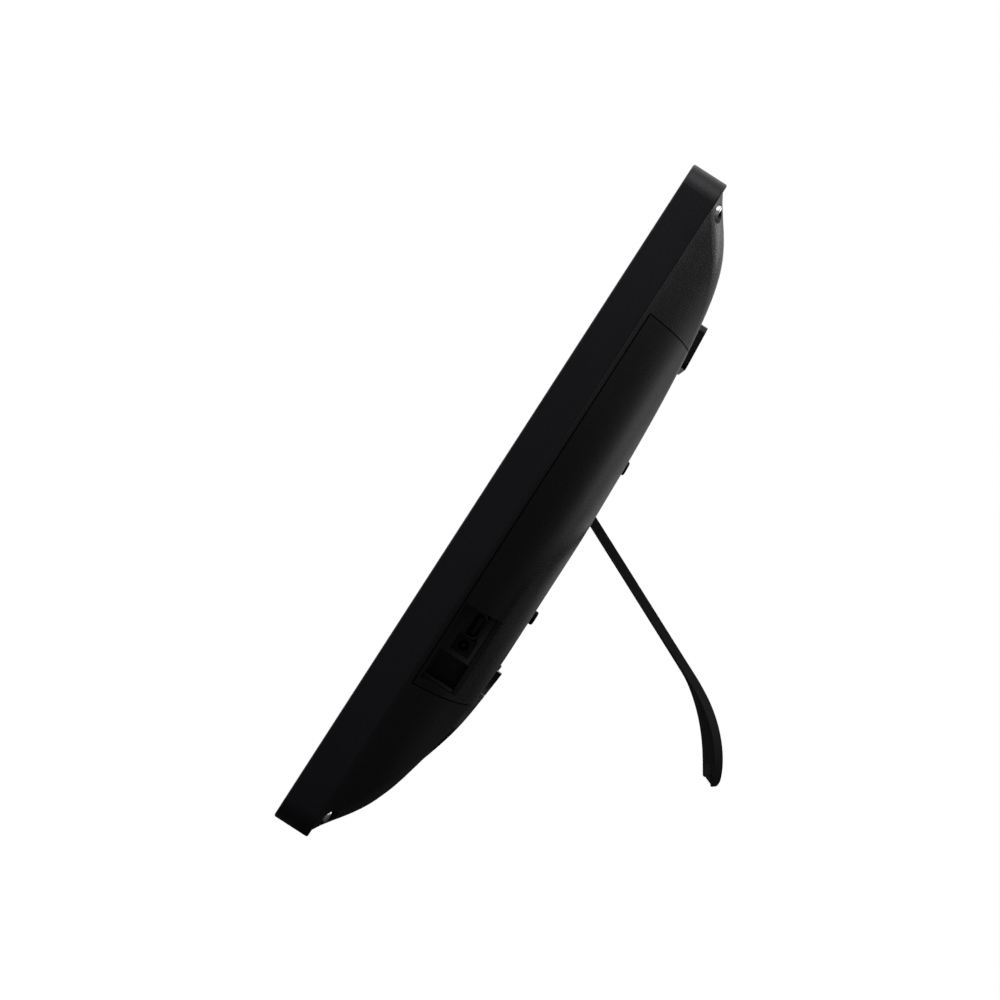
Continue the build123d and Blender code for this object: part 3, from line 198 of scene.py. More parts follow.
def make_floor():
    bpy.ops.mesh.primitive_plane_add(size=TABLE_SIZE)
    floor = bpy.context.object
    floor.name = "table"
    material = bpy.data.materials.new("table_white")
    material.use_nodes = True
    sheet = Sheet(material.node_tree)
    white = (FLOOR_WHITE, FLOOR_WHITE, FLOOR_WHITE, 1)
    lit = sheet.node("ShaderNodeBsdfDiffuse", inputs={"Color": white})
    glow = sheet.node("ShaderNodeEmission", inputs={"Color": (1, 1, 1, 1), "Strength": FLOOR_STRENGTH})
    seen = sheet.node("ShaderNodeLightPath", output="Is Camera Ray")
    mirrored = sheet.node("ShaderNodeLightPath", output="Is Glossy Ray")
    through = sheet.node("ShaderNodeLightPath", output="Is Transmission Ray")
    away = sheet.node("ShaderNodeVectorMath", {"operation": "LENGTH"},
                      (sheet.node("ShaderNodeTexCoord", output="Object"),), "Value")
    # the table's white in gloss, darkened near the frame's middle by a painted shadow
    shine = mirrored * away.smooth(*PAINTED_SHADOW_REACH) * FLOOR_SHINE
    share = (seen + through).math("MINIMUM", 1.0) * FLOOR_GLOW + shine
    shown = sheet.node("ShaderNodeMixShader", inputs=(share, lit, glow))
    sheet.node("ShaderNodeOutputMaterial", inputs={"Surface": shown})
    floor.data.materials.append(material)


make_camera()
make_lamps()
make_surround()
make_floor()
bpy.context.scene.view_settings.view_transform = "Standard"


# ------------------------------------------------------------------ front bezel
# One moulding in black ABS: a flat rim round the window and walls that run back to the shell. Its
# mould was spark-eroded, which leaves a very fine, even grain that spreads reflections.
BEZEL_DARK = (0.0040, 0.0042, 0.0056)
BEZEL_LIGHT = (0.0066, 0.0068, 0.0088)
BEZEL_ROUGHNESS = 0.42
BEZEL_GRAIN = 0.00028
BEZEL_GRAIN_DEPTH = 0.000012
PLASTIC_GLOSS = 0.18


class Finish(Sheet):
    """A material with one Principled shader. Steady values are set on the shader's own sockets."""

    def __init__(self, name, steady=None):
        self.material = bpy.data.materials.new(name)
        self.material.use_nodes = True
        super().__init__(self.material.node_tree)
        self.shader = self.tree.nodes.new("ShaderNodeBsdfPrincipled")
        for socket, value in (steady or {}).items():
            self.shader.inputs[socket].default_value = value
        self.show(Value(self, self.shader.outputs[0]))

    def show(self, surface):
        """Ends the material in this shader."""
        output = self.tree.nodes.get("end") or self.tree.nodes.new("ShaderNodeOutputMaterial")
        output.name = "end"
        self.tree.links.new(surface.socket, output.inputs["Surface"])

    def put(self, socket, value):
        """Lets a pattern drive one of the shader's sockets."""
        self.tree.links.new(value.socket, self.shader.inputs[socket])

    def place(self, centre=(0, 0, 0), turn=(0, 0, 0), scale=(1, 1, 1)):
        """Where a point of the surface lies, from a centre and along turned and scaled axes."""
        where = self.node("ShaderNodeTexCoord", output="Object")
        inputs = {"Vector": where, "Location": centre, "Rotation": turn, "Scale": scale}
        return self.node("ShaderNodeMapping", {"vector_type": "TEXTURE"}, inputs)

    def along(self, where):
        """The three separate numbers of a place."""
        split = self.node("ShaderNodeSeparateXYZ", inputs=(where,)).socket.node
        return [Value(self, output) for output in split.outputs]

    def noise(self, where, grain, detail=2.0, roughness=0.5):
        """Soft random spots about as large as the grain, around 0.5."""
        inputs = {"Vector": where, "Scale": 1 / grain, "Detail": detail, "Roughness": roughness}
        return self.node("ShaderNodeTexNoise", inputs=inputs)

    def cells(self, where, grain):
        """Random cells about as large as the grain: the distance from each one's middle."""
        inputs = {"Vector": where, "Scale": 1 / grain}
        return self.node("ShaderNodeTexVoronoi", {"feature": "F1"}, inputs)

    def bump(self, height, depth):
        """Raises the surface by height times depth, in metres."""
        inputs = {"Height": height, "Distance": depth, "Strength": 1.0}
        self.put("Normal", self.node("ShaderNodeBump", inputs=inputs))


def moulded_plastic(name, dark, light, roughness, grain, depth, gloss=PLASTIC_GLOSS):
    """Black moulded plastic: an eroded grain, a faint flow pattern and a few rubbed patches."""
    finish = Finish(name, {"Specular IOR Level": gloss})
    where = finish.place()
    flow = finish.noise(where, 0.045, detail=3.0)
    speck = finish.noise(where, grain * 3, detail=4.0, roughness=0.7)
    rubbed = finish.noise(where, 0.012, detail=5.0, roughness=0.65).smooth(0.5, 0.75)
    finish.put("Base Color", finish.mix((flow + speck) * 0.5, dark, light))
    finish.put("Roughness", roughness + (speck - 0.5) * 0.14 - rubbed * 0.05)
    pits = finish.cells(where, grain).smooth(0.1, 0.7)
    finish.bump(pits * 0.7 + finish.noise(where, grain / 2) * 0.3, depth)
    return finish.material


def dress(material, *nodes):
    """Gives CAD nodes their material."""
    for name in nodes:
        mesh = frame["nodes"][name].data
        mesh.materials.clear()
        mesh.materials.append(material)


bezel_plastic = moulded_plastic("bezel_plastic", BEZEL_DARK, BEZEL_LIGHT, BEZEL_ROUGHNESS,
                                BEZEL_GRAIN, BEZEL_GRAIN_DEPTH)
dress(bezel_plastic, "front_bezel")


# ------------------------------------------------------------------ window
# A sheet of clear acrylic let into the bezel, printed black on its back round the lit area and
# hard coated on its front. It takes fine wiping marks and a little dust.
PRINT_BLACK = (0.0035, 0.0036, 0.0042)
LIT_WIDTH = 0.162
LIT_HEIGHT = 0.1215
PRINT_EDGE = 0.0003
WINDOW_ROUGHNESS = 0.06
WINDOW_TINTS = ((0.93, 0.95, 0.96), (0.96, 0.97, 0.98))
WIPE_STRETCH = (1.0, 1.0, 0.16)

press = next(joint for joint in frame["joints"] if joint["name"] == "play_press")
LEAN = math.asin(press["axis"][2])
UPRIGHT = (-LEAN, 0, 0)     # the turn from a square frame to the leaning one


def middle(node):
    low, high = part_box(node)
    return (low + high) / 2


def wiped(finish, where, roughness):
    """Puts the faint marks that a cloth leaves on a glossy surface into its roughness."""
    stretched = finish.node("ShaderNodeVectorMath", {"operation": "MULTIPLY"}, (where, WIPE_STRETCH))
    strokes = finish.noise(stretched, 0.006, detail=6.0, roughness=0.7)
    dust = finish.cells(where, 0.0022).smooth(0.10, 0.02)
    finish.put("Roughness", roughness + strokes.smooth(0.45, 0.8) * 0.08 + dust * 0.12)


def window_acrylic():
    """Clear in the middle, and printed black from the edge of the lit area outwards."""
    finish = Finish("window_acrylic", {"Transmission Weight": 1.0, "IOR": 1.49})
    where = finish.place(middle("front_window"), UPRIGHT)
    clear = Value(finish, finish.shader.outputs[0])
    wiped(finish, where, WINDOW_ROUGHNESS)
    tint = finish.noise(where, 0.02)
    finish.put("Base Color", finish.mix(tint, *WINDOW_TINTS))
    finish.shader = finish.tree.nodes.new("ShaderNodeBsdfPrincipled")
    wiped(finish, where, WINDOW_ROUGHNESS)
    finish.put("Base Color", finish.mix(tint, PRINT_BLACK, BEZEL_DARK))
    print_black = Value(finish, finish.shader.outputs[0])
    x, _, z = finish.along(where)
    beyond_side = x.size().smooth(LIT_WIDTH / 2, LIT_WIDTH / 2 + PRINT_EDGE)
    beyond_top = z.size().smooth(LIT_HEIGHT / 2, LIT_HEIGHT / 2 + PRINT_EDGE)
    printed = beyond_side.math("MAXIMUM", beyond_top)
    finish.show(finish.node("ShaderNodeMixShader", inputs=(printed, clear, print_black)))
    return finish.material


dress(window_acrylic(), "front_window")


# ------------------------------------------------------------------ screen
# A liquid crystal panel behind a foam ring: two glass sheets over a milky light guide in a pressed
# steel tray. Its film against glare leaves the dark glass a dull grey under a fine grid of cells.
CELL = 0.0002025            # one dot of the picture
SCREEN_DARK = (0.0070, 0.0074, 0.0090)
SCREEN_LIGHT = (0.0105, 0.0112, 0.0135)
STEEL_DARK = (0.42, 0.43, 0.44)
STEEL_LIGHT = (0.62, 0.63, 0.64)
FOAM_BLACKS = ((0.004, 0.004, 0.004), (0.020, 0.020, 0.021))
GUIDE_WHITES = ((0.74, 0.76, 0.77), (0.90, 0.91, 0.91))


def grid_lines(finish, number, pitch, width):
    """1 on thin lines at an even pitch, and 0 between them."""
    step = (number / pitch).math("FRACT")
    return (step - 0.5).size().smooth(0.5 - width / 2, 0.5 - width / 4)


def screen_glass():
    finish = Finish("screen_glass", {"Specular IOR Level": 0.12})
    where = finish.place(middle("front_window"), UPRIGHT)
    x, _, z = finish.along(where)
    lines = grid_lines(finish, x, CELL / 3, 0.3).math("MAXIMUM", grid_lines(finish, z, CELL, 0.2))
    inside = (x.size() < LIT_WIDTH / 2) * (z.size() < LIT_HEIGHT / 2)
    cells = finish.mix(lines, SCREEN_LIGHT, SCREEN_DARK)
    finish.put("Base Color", finish.mix(inside, PRINT_BLACK, cells))
    finish.put("Roughness", finish.noise(where, 0.0006) * 0.08 + 0.22)
    return finish.material


def gasket_foam():
    finish = Finish("gasket_foam", {"Specular IOR Level": 0.3})
    where = finish.place()
    pores = finish.cells(where, 0.0004).smooth(0.0, 0.6)
    # the middles of the pores are painted darker: painted shade inside the pores
    finish.put("Base Color", finish.mix(pores, *FOAM_BLACKS))
    finish.put("Roughness", 0.82 + pores * 0.12)
    finish.bump(pores, 0.00012)
    return finish.material


def light_guide():
    finish = Finish("backlight_plastic", {"Subsurface Weight": 0.2})
    where = finish.place(middle("lcd_backlight"), UPRIGHT)
    dots = finish.cells(where, 0.0011).smooth(0.32, 0.22)
    finish.put("Base Color", finish.mix(dots, *GUIDE_WHITES))
    finish.put("Roughness", 0.18 + dots * 0.25)
    finish.bump(dots, 0.00004)
    return finish.material


def sheet_steel(name, dark=STEEL_DARK, light=STEEL_LIGHT, roughness=0.34):
    """Zinc-plated sheet: rolling lines along one way, cloudy plating and a few dull spots."""
    finish = Finish(name, {"Metallic": 1.0})
    where = finish.place(turn=UPRIGHT)
    rolled = finish.noise(finish.place(turn=UPRIGHT, scale=(40, 1, 1)), 0.0004, detail=4.0, roughness=0.6)
    cloud = finish.noise(where, 0.006, detail=4.0, roughness=0.6)
    spots = finish.cells(where, 0.009).smooth(0.16, 0.05)
    finish.put("Base Color", finish.mix(cloud * 0.7 + rolled * 0.3, dark, light))
    finish.put("Roughness", roughness + (rolled - 0.5) * 0.25 + spots * 0.18)
    finish.bump(rolled + cloud * 0.4, 0.00002)
    return finish.material


dress(screen_glass(), "lcd_glass")
dress(gasket_foam(), "lcd_gasket")
dress(light_guide(), "lcd_backlight")
dress(sheet_steel("tray_steel"), "lcd_tray", "lcd_brackets")


# ------------------------------------------------------------------ screws
# Pan-head machine screws, cold formed and nickel plated: four through the corners of the shell, and
# small ones inside. Their faces are finely marked, with a little grime and a few scuffs.
NICKEL_DARK = (0.50, 0.49, 0.47)
NICKEL_LIGHT = (0.78, 0.77, 0.74)


def nickel_plate():
    finish = Finish("screw_nickel", {"Metallic": 1.0})
    where = finish.place(turn=UPRIGHT)
    grime = finish.noise(where, 0.0009, detail=4.0, roughness=0.6)
    rings = finish.noise(where, 0.00012, detail=2.0)
    scuffs = finish.cells(where, 0.0006).smooth(0.2, 0.05)
    finish.put("Base Color", finish.mix(grime.smooth(0.35, 0.7), NICKEL_DARK, NICKEL_LIGHT))
    finish.put("Roughness", 0.20 + rings * 0.10 + scuffs * 0.15)
    finish.bump(rings * 0.5 + scuffs * 0.5, 0.000008)
    return finish.material


dress(nickel_plate(), "corner_screws", "lcd_bracket_screws", "board_screws", "key_board_screws",
      "hinge_screws")


# ------------------------------------------------------------------ circuit boards
# Two glass-fibre boards under green lacquer, with copper tracks that show through it as a lighter
# green and gold-plated pads. Chips, cans and connectors are soldered to their backs.
LACQUER_DARK = (0.004, 0.045, 0.020)
LACQUER_TRACK = (0.012, 0.105, 0.045)
PAD_GOLD = (0.72, 0.50, 0.16)
FIBRE_EDGE = (0.30, 0.27, 0.11)
TRACK_PITCH = 0.0012
TRACK_PATCH = 0.011         # side of a patch in which the tracks run one way
ACROSS_ABOVE = 0.62         # a patch's random number decides: tracks along the board,
DOWN_BELOW = 0.34           # tracks up it, or none
EPOXY_BLACKS = ((0.007, 0.007, 0.008), (0.024, 0.024, 0.026))
CAN_SILVERS = ((0.60, 0.61, 0.63), (0.82, 0.82, 0.83))
NYLON_CREAMS = ((0.70, 0.66, 0.54), (0.82, 0.79, 0.68))
BRASS = ((0.78, 0.57, 0.22), (0.50, 0.34, 0.12))
TINPLATE = ((0.52, 0.53, 0.53), (0.74, 0.74, 0.73))


def board_laminate(name, node):
    finish = Finish(name, {"Coat Roughness": 0.15})
    where = finish.place(middle(node), UPRIGHT)
    x, _, z = finish.along(where)
    patch = finish.node("ShaderNodeTexVoronoi", {"distance": "CHEBYCHEV"},
                        {"Vector": where, "Scale": 1 / TRACK_PATCH}, "Color")
    choice = finish.along(patch)[0]
    across = grid_lines(finish, x, TRACK_PITCH, 0.55)
    down = grid_lines(finish, z, TRACK_PITCH, 0.55)
    tracks = (choice > ACROSS_ABOVE) * across + (choice < DOWN_BELOW) * down
    dots = finish.cells(where, 0.0036).smooth(0.115, 0.10)
    outward = finish.node("ShaderNodeNewGeometry", output="Normal")
    upright = finish.node("ShaderNodeVectorRotate", {"rotation_type": "X_AXIS"},
                          {"Vector": outward, "Angle": LEAN})
    face = finish.along(upright)[1].size().smooth(0.4, 0.6)
    weave = finish.noise(finish.place(turn=UPRIGHT, scale=(1, 1, 6)), 0.0004, detail=2.0)
    lacquer = finish.mix(tracks, LACQUER_DARK, LACQUER_TRACK)
    printed = finish.mix(dots, lacquer, PAD_GOLD)
    finish.put("Base Color", finish.mix(face, FIBRE_EDGE, printed))
    finish.put("Metallic", dots * face)
    finish.put("Coat Weight", face * 0.6)
    finish.put("Roughness", 0.36 + weave * 0.12 + (1 - face) * 0.35)
    finish.bump(tracks * 0.5 + dots * 0.4 + weave * 0.15, 0.00004)
    return finish.material


def chip_epoxy():
    """Black filled epoxy, matt and with a fine sandy grain."""
    finish = Finish("chip_epoxy", {"Specular IOR Level": 0.35})
    where = finish.place(turn=UPRIGHT)
    sand = finish.noise(where, 0.00012, detail=3.0, roughness=0.7)
    cloud = finish.noise(where, 0.004, detail=2.0)
    finish.put("Base Color", finish.mix(cloud * 0.5 + sand * 0.5, *EPOXY_BLACKS))
    finish.put("Roughness", 0.52 + sand * 0.16)
    finish.bump(sand, 0.00003)
    return finish.material


def drawn_can():
    """Bare drawn aluminium, with fine lines the way it was drawn."""
    finish = Finish("capacitor_can", {"Metallic": 1.0})
    where = finish.place(turn=UPRIGHT)
    drawn = finish.noise(finish.place(turn=UPRIGHT, scale=(1, 18, 1)), 0.0002, detail=3.0)
    finish.put("Base Color", finish.mix(drawn, *CAN_SILVERS))
    finish.put("Roughness", 0.22 + finish.noise(where, 0.0015, detail=4.0) * 0.2)
    finish.bump(drawn, 0.00001)
    return finish.material


def natural_nylon():
    finish = Finish("socket_nylon", {"Subsurface Weight": 0.15})
    where = finish.place()
    cloud = finish.noise(where, 0.0025, detail=4.0)
    finish.put("Base Color", finish.mix(cloud, *NYLON_CREAMS))
    finish.put("Roughness", 0.40 + cloud * 0.15)
    finish.bump(finish.noise(where, 0.0002, detail=2.0), 0.00001)
    return finish.material


def turned_brass():
    finish = Finish("standoff_brass", {"Metallic": 1.0})
    where = finish.place(turn=UPRIGHT)
    rings = finish.noise(finish.place(turn=UPRIGHT, scale=(8, 1, 8)), 0.00015, detail=2.0)
    tarnish = finish.noise(where, 0.0012, detail=5.0, roughness=0.6).smooth(0.4, 0.7)
    finish.put("Base Color", finish.mix(tarnish, *BRASS))
    finish.put("Roughness", 0.22 + tarnish * 0.2 + rings * 0.1)
    finish.bump(rings, 0.00002)
    return finish.material


dress(board_laminate("main_board_laminate", "main_board"), "main_board")
dress(board_laminate("key_board_laminate", "key_board"), "key_board")
dress(chip_epoxy(), "board_chips", "key_switches")
dress(drawn_can(), "board_capacitors")
dress(natural_nylon(), "lead_sockets", "ribbon_sockets")
dress(turned_brass(), "board_standoffs")
dress(sheet_steel("can_tinplate", *TINPLATE, roughness=0.26), "shield_can")


# ------------------------------------------------------------------ legs and small parts of the boards
# Chips stand on bent legs of tinned copper, pressed out of strip and soldered to the board. Between
# those of the main board sit small ceramic parts, each held by the solder at its two ends.
LEG_WIDTH = 0.00032
LEG_THICK = 0.00014
LEG_RISE = 0.00062
LEG_REACH = 0.00095
LEG_PITCH = 0.00085
LEG_FROM_CORNER = 0.0008
SMALL_PART = (0.0016, 0.0006, 0.0008)       # length, height and width
SMALL_PART_END = 0.00035
SMALL_PART_PITCH = 0.0026
SMALL_PART_CLEAR = 0.0019
SMALL_PART_SEED = 7
SHADE_SEED = 3
SMALL_PART_CROWD = 60000.0  # most per square metre, more than their pitch lets in
LEG_KNEE = 0.35             # where a leg turns down and ends its fall, as shares of its reach
LEG_ANKLE = 0.5
SQUARE_ENOUGH = 0.95        # a chip at least this wide for its length has legs on all four sides
BLACK_ABOVE = 0.55          # a part's random shade over which it is black
TIN_DARK = (0.46, 0.46, 0.45)
TIN_LIGHT = (0.72, 0.72, 0.70)
CERAMIC_TAN = (0.30, 0.20, 0.11)
CERAMIC_BLACK = (0.010, 0.010, 0.011)

LEANING = Matrix.Rotation(-LEAN, 4, "X")


def upright_copy(node):
    """A CAD node's mesh, merged into whole solids and turned as if the frame stood upright."""
    mesh = bmesh.new()
    mesh.from_mesh(frame["nodes"][node].data)
    bmesh.ops.remove_doubles(mesh, verts=mesh.verts, dist=1e-6)
    mesh.transform(LEANING.inverted())
    return mesh


def solid_boxes(node):
    """The lowest and highest corner of each solid of a node, with the frame upright, in fixed order."""
    mesh = upright_copy(node)
    left = set(mesh.verts)
    boxes = []
    while left:
        solid = [left.pop()]
        for vert in solid:
            linked = {edge.other_vert(vert) for edge in vert.link_edges} & left
            left -= linked
            solid += linked
        places = [tuple(vert.co) for vert in solid]
        boxes.append([Vector(map(pick, zip(*places))) for pick in (min, max)])
    mesh.free()
    return sorted(boxes, key=lambda box: tuple(box[0]))


def new_piece(name, mesh):
    """An object at the origin with this mesh."""
    piece = bpy.data.objects.new(name, mesh)
    bpy.context.scene.collection.objects.link(piece)
    return piece


class Repeat(Sheet):
    """A geometry tree with named inputs that sets one small shape again and again."""

    KINDS = {float: "NodeSocketFloat", int: "NodeSocketInt", bpy.types.Object: "NodeSocketObject",
             bpy.types.Material: "NodeSocketMaterial"}

    def __init__(self, name, **given):
        super().__init__(bpy.data.node_groups.new(name, "GeometryNodeTree"))
        sockets = self.tree.interface
        sockets.new_socket("where", in_out="INPUT", socket_type="NodeSocketGeometry")
        self.given = []
        for label, value in given.items():
            socket = sockets.new_socket(label, in_out="INPUT", socket_type=self.KINDS[type(value)])
            self.given.append((socket.identifier, value))
        sockets.new_socket("made", in_out="OUTPUT", socket_type="NodeSocketGeometry")
        self.start = self.tree.nodes.new("NodeGroupInput")

    def given_as(self, label):
        return Value(self, self.start.outputs[label])

    def shape_of(self, label):
        """The mesh of the object that was given under this label."""
        given = {"Object": self.given_as(label)}
        return self.node("GeometryNodeObjectInfo", inputs=given, output="Geometry")

    def attribute(self, kind, name):
        return self.node("GeometryNodeInputNamedAttribute", {"data_type": kind}, {"Name": name})

    def make(self, piece, repeated):
        """Ends the tree in plain mesh with its material, and leaves that mesh on the piece."""
        real = self.node("GeometryNodeRealizeInstances", inputs=(repeated,))
        inputs = {"Geometry": real, "Material": self.given_as("material")}
        settled = self.node("GeometryNodeSetMaterial", inputs=inputs)
        self.node("NodeGroupOutput", inputs=(settled,))
        modifier = piece.modifiers.new("repeat", "NODES")
        modifier.node_group = self.tree
        for identifier, value in self.given:
            modifier[identifier] = value
        evaluated = piece.evaluated_get(bpy.context.evaluated_depsgraph_get())
        mesh = bpy.data.meshes.new_from_object(evaluated)
        piece.modifiers.clear()
        piece.data = mesh
        mesh.transform(LEANING)


def tinned_copper():
    finish = Finish("tinned_copper", {"Metallic": 1.0})
    where = finish.place(turn=UPRIGHT)
    cloud = finish.noise(where, 0.0004, detail=4.0, roughness=0.6)
    finish.put("Base Color", finish.mix(cloud, TIN_DARK, TIN_LIGHT))
    finish.put("Roughness", 0.24 + cloud * 0.16)
    finish.bump(cloud, 0.00001)
    return finish.material


def bent_leg():
    """One leg: out of the chip's side, down to the board and out again along it."""
    half = LEG_WIDTH / 2
    knee = LEG_REACH * LEG_KNEE
    ankle = LEG_REACH * LEG_ANKLE
    under = LEG_RISE - LEG_THICK
    outline = ((-LEG_THICK, LEG_RISE), (knee, LEG_RISE), (ankle, LEG_THICK), (LEG_REACH, LEG_THICK),
               (LEG_REACH, 0), (ankle - LEG_THICK, 0), (knee - LEG_THICK, under), (-LEG_THICK, under))
    sides = [[(side, out, up) for out, up in outline] for side in (-half, half)]
    count = len(outline)
    faces = [tuple(range(count)), tuple(reversed(range(count, 2 * count)))]
    for first in range(count):
        second = (first + 1) % count
        faces.append((first, first + count, second + count, second))
    mesh = bpy.data.meshes.new("bent_leg")
    mesh.from_pydata(sides[0] + sides[1], [], faces)
    square = bmesh.new()
    square.from_mesh(mesh)
    bmesh.ops.recalc_face_normals(square, faces=square.faces)
    square.to_mesh(mesh)
    square.free()
    return mesh


def leg_lines(boxes):
    """Lines along the sides with legs: all four of a square chip, and the long two of another."""
    points = []
    outward = []
    for low, high in boxes:
        size = high - low
        for along, across in ((0, 2), (2, 0)):
            if size[along] < SQUARE_ENOUGH * size[across]:
                continue
            for edge, sign in ((low, -1), (high, 1)):
                for end in (low[along] + LEG_FROM_CORNER, high[along] - LEG_FROM_CORNER):
                    point = Vector((0, low.y, 0))
                    point[along] = end
                    point[across] = edge[across]
                    way = Vector()
                    way[across] = sign
                    points.append(point)
                    outward.append(way)
    mesh = bpy.data.meshes.new("leg_lines")
    mesh.from_pydata(points, [(index, index + 1) for index in range(0, len(points), 2)], [])
    directions = mesh.attributes.new("outward", "FLOAT_VECTOR", "POINT")
    for entry, way in zip(directions.data, outward):
        entry.vector = way
    return mesh


def stand_on_legs(name, node, material):
    """Gives each chip of a node its rows of legs."""
    leg = new_piece("bent_leg", bent_leg())
    piece = new_piece(name, leg_lines(solid_boxes(node)))
    rows = Repeat(name, leg=leg, pitch=LEG_PITCH, material=material)
    lines = rows.node("GeometryNodeMeshToCurve", inputs={"Mesh": rows.given_as("where")})
    points = rows.node("GeometryNodeCurveToPoints", {"mode": "LENGTH"},
                       {"Curve": lines, "Length": rows.given_as("pitch")})
    up = rows.node("FunctionNodeAlignRotationToVector", {"axis": "Z"}, {"Vector": (0, 1, 0)})
    turn = rows.node("FunctionNodeAlignRotationToVector", {"axis": "Y", "pivot_axis": "Z"},
                     {"Rotation": up, "Vector": rows.attribute("FLOAT_VECTOR", "outward")})
    legs = rows.node("GeometryNodeInstanceOnPoints",
                     inputs={"Points": points, "Instance": rows.shape_of("leg"), "Rotation": turn})
    rows.make(piece, legs)
    bpy.data.objects.remove(leg)
    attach(piece, "frame")


def box_mesh(name, boxes):
    """One mesh of closed boxes, each given by two corners, with how much of each is tinned."""
    shape = bmesh.new()
    tinned = shape.verts.layers.float.new("tinned")
    for (low, high), share in boxes:
        size = high - low
        place = Matrix.Translation((low + high) / 2) @ Matrix.Diagonal((*size, 1))
        for vert in bmesh.ops.create_cube(shape, size=1, matrix=place)["verts"]:
            vert[tinned] = share
    mesh = bpy.data.meshes.new(name)
    shape.to_mesh(mesh)
    shape.free()
    return mesh


def ceramic_part():
    """A ceramic block with a tinned cap round each end."""
    long, high, wide = (side / 2 for side in SMALL_PART)
    cap = LEG_THICK / 4
    low = Vector((SMALL_PART_END - long, 0, cap - wide))
    top = Vector((long - SMALL_PART_END, 2 * high - cap, wide - cap))
    parts = [((low, top), 0.0)]
    for side in (-1, 1):
        ends = sorted((side * long, side * (long - SMALL_PART_END)))
        parts.append(((Vector((ends[0], 0, -wide)), Vector((ends[1], 2 * high, wide))), 1.0))
    return box_mesh("ceramic_part", parts)


def taken_places(board, level):
    """Flat sheets under all that stands on the board, and a low wall along its edges and holes."""
    shape = bmesh.new()
    for edge in board.edges:
        if edge.is_boundary:
            first, last = (vert.co for vert in edge.verts)
            rise = Vector((0, LEG_THICK, 0))
            shape.faces.new([shape.verts.new(corner) for corner in (first, last, last + rise, first + rise)])
    for node in ("board_chips", "shield_can", "board_capacitors", "board_screws", "usb_socket", "dc_jack",
                 "lead_sockets", "ribbon_sockets", "port_plate"):
        for low, high in solid_boxes(node):
            corners = [shape.verts.new((x, level, z)) for x, z in
                       ((low.x, low.z), (high.x, low.z), (high.x, high.z), (low.x, high.z))]
            shape.faces.new(corners)
    mesh = bpy.data.meshes.new("taken_places")
    shape.to_mesh(mesh)
    shape.free()
    return mesh


def ceramics(material):
    """Scatters the small parts over what is free of the main board's back."""
    board = upright_copy("main_board")
    level = max(vert.co.y for vert in board.verts)
    off_the_back = [face for face in board.faces if face.calc_center_median().y < level - LEG_THICK]
    bmesh.ops.delete(board, geom=off_the_back, context="FACES")
    mesh = bpy.data.meshes.new("board_back")
    board.to_mesh(mesh)
    piece = new_piece("board_ceramics", mesh)
    part = new_piece("ceramic_part", ceramic_part())
    taken = new_piece("taken_places", taken_places(board, level))
    board.free()
    spread = Repeat("board_ceramics", part=part, taken=taken, pitch=SMALL_PART_PITCH,
                    clear=SMALL_PART_CLEAR, seed=SMALL_PART_SEED, material=material)
    points = spread.node("GeometryNodeDistributePointsOnFaces", {"distribute_method": "POISSON"},
                         {"Mesh": spread.given_as("where"), "Distance Min": spread.given_as("pitch"),
                          "Density Max": SMALL_PART_CROWD, "Seed": spread.given_as("seed")})
    near = spread.node("GeometryNodeProximity", {"target_element": "FACES"},
                       (spread.shape_of("taken"),), "Distance")
    kept = spread.node("GeometryNodeDeleteGeometry", {"domain": "POINT"},
                       {"Geometry": points, "Selection": near < spread.given_as("clear")})
    # a whole number of quarter turns; socket 3 is the node's largest number, and output 1 the result
    quarter = spread.node("FunctionNodeRandomValue", {"data_type": "FLOAT"},
                          {3: 4.0, "Seed": spread.given_as("seed")}, 1).math("FLOOR")
    turn = spread.node("ShaderNodeCombineXYZ", inputs={"Y": quarter * (math.pi / 2)})
    parts = spread.node("GeometryNodeInstanceOnPoints",
                        inputs={"Points": kept, "Instance": spread.shape_of("part"), "Rotation": turn})
    shade = spread.node("FunctionNodeRandomValue", {"data_type": "FLOAT"}, {"Seed": SHADE_SEED}, 1)
    shaded = spread.node("GeometryNodeStoreNamedAttribute", {"data_type": "FLOAT", "domain": "INSTANCE"},
                         {"Geometry": parts, "Name": "shade", "Value": shade})
    spread.make(piece, shaded)
    for helper in (part, taken):
        bpy.data.objects.remove(helper)
    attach(piece, "frame")


def ceramic_finish():
    """Tan or black glazed ceramic by the part's shade, and bright tin on the caps."""
    finish = Finish("ceramic_finish")
    where = finish.place(turn=UPRIGHT)
    tinned = finish.node("ShaderNodeAttribute", {"attribute_name": "tinned"}, output="Fac")
    shade = finish.node("ShaderNodeAttribute", {"attribute_name": "shade"}, output="Fac")
    cloud = finish.noise(where, 0.0004, detail=4.0, roughness=0.6)
    glazed = finish.mix(shade > BLACK_ABOVE, CERAMIC_TAN, CERAMIC_BLACK)
    dusty = finish.mix(cloud * 0.25, glazed, TIN_DARK)
    finish.put("Base Color", finish.mix(tinned, dusty, finish.mix(cloud, TIN_DARK, TIN_LIGHT)))
    finish.put("Metallic", tinned)
    finish.put("Roughness", 0.30 + cloud * 0.2)
    finish.bump(cloud, 0.00001)
    return finish.material


stand_on_legs("chip_legs", "board_chips", tinned_copper())
ceramics(ceramic_finish())


# ------------------------------------------------------------------ ribbons
# Flat flexible circuits join the panel and the key board to the main board: copper lines between
# two amber films, glued together and pushed into the nylon sockets at both ends.
FILM_AMBER = (0.30, 0.105, 0.014)
FILM_COPPER = (0.56, 0.25, 0.055)
RIBBON_PITCH = 0.0010


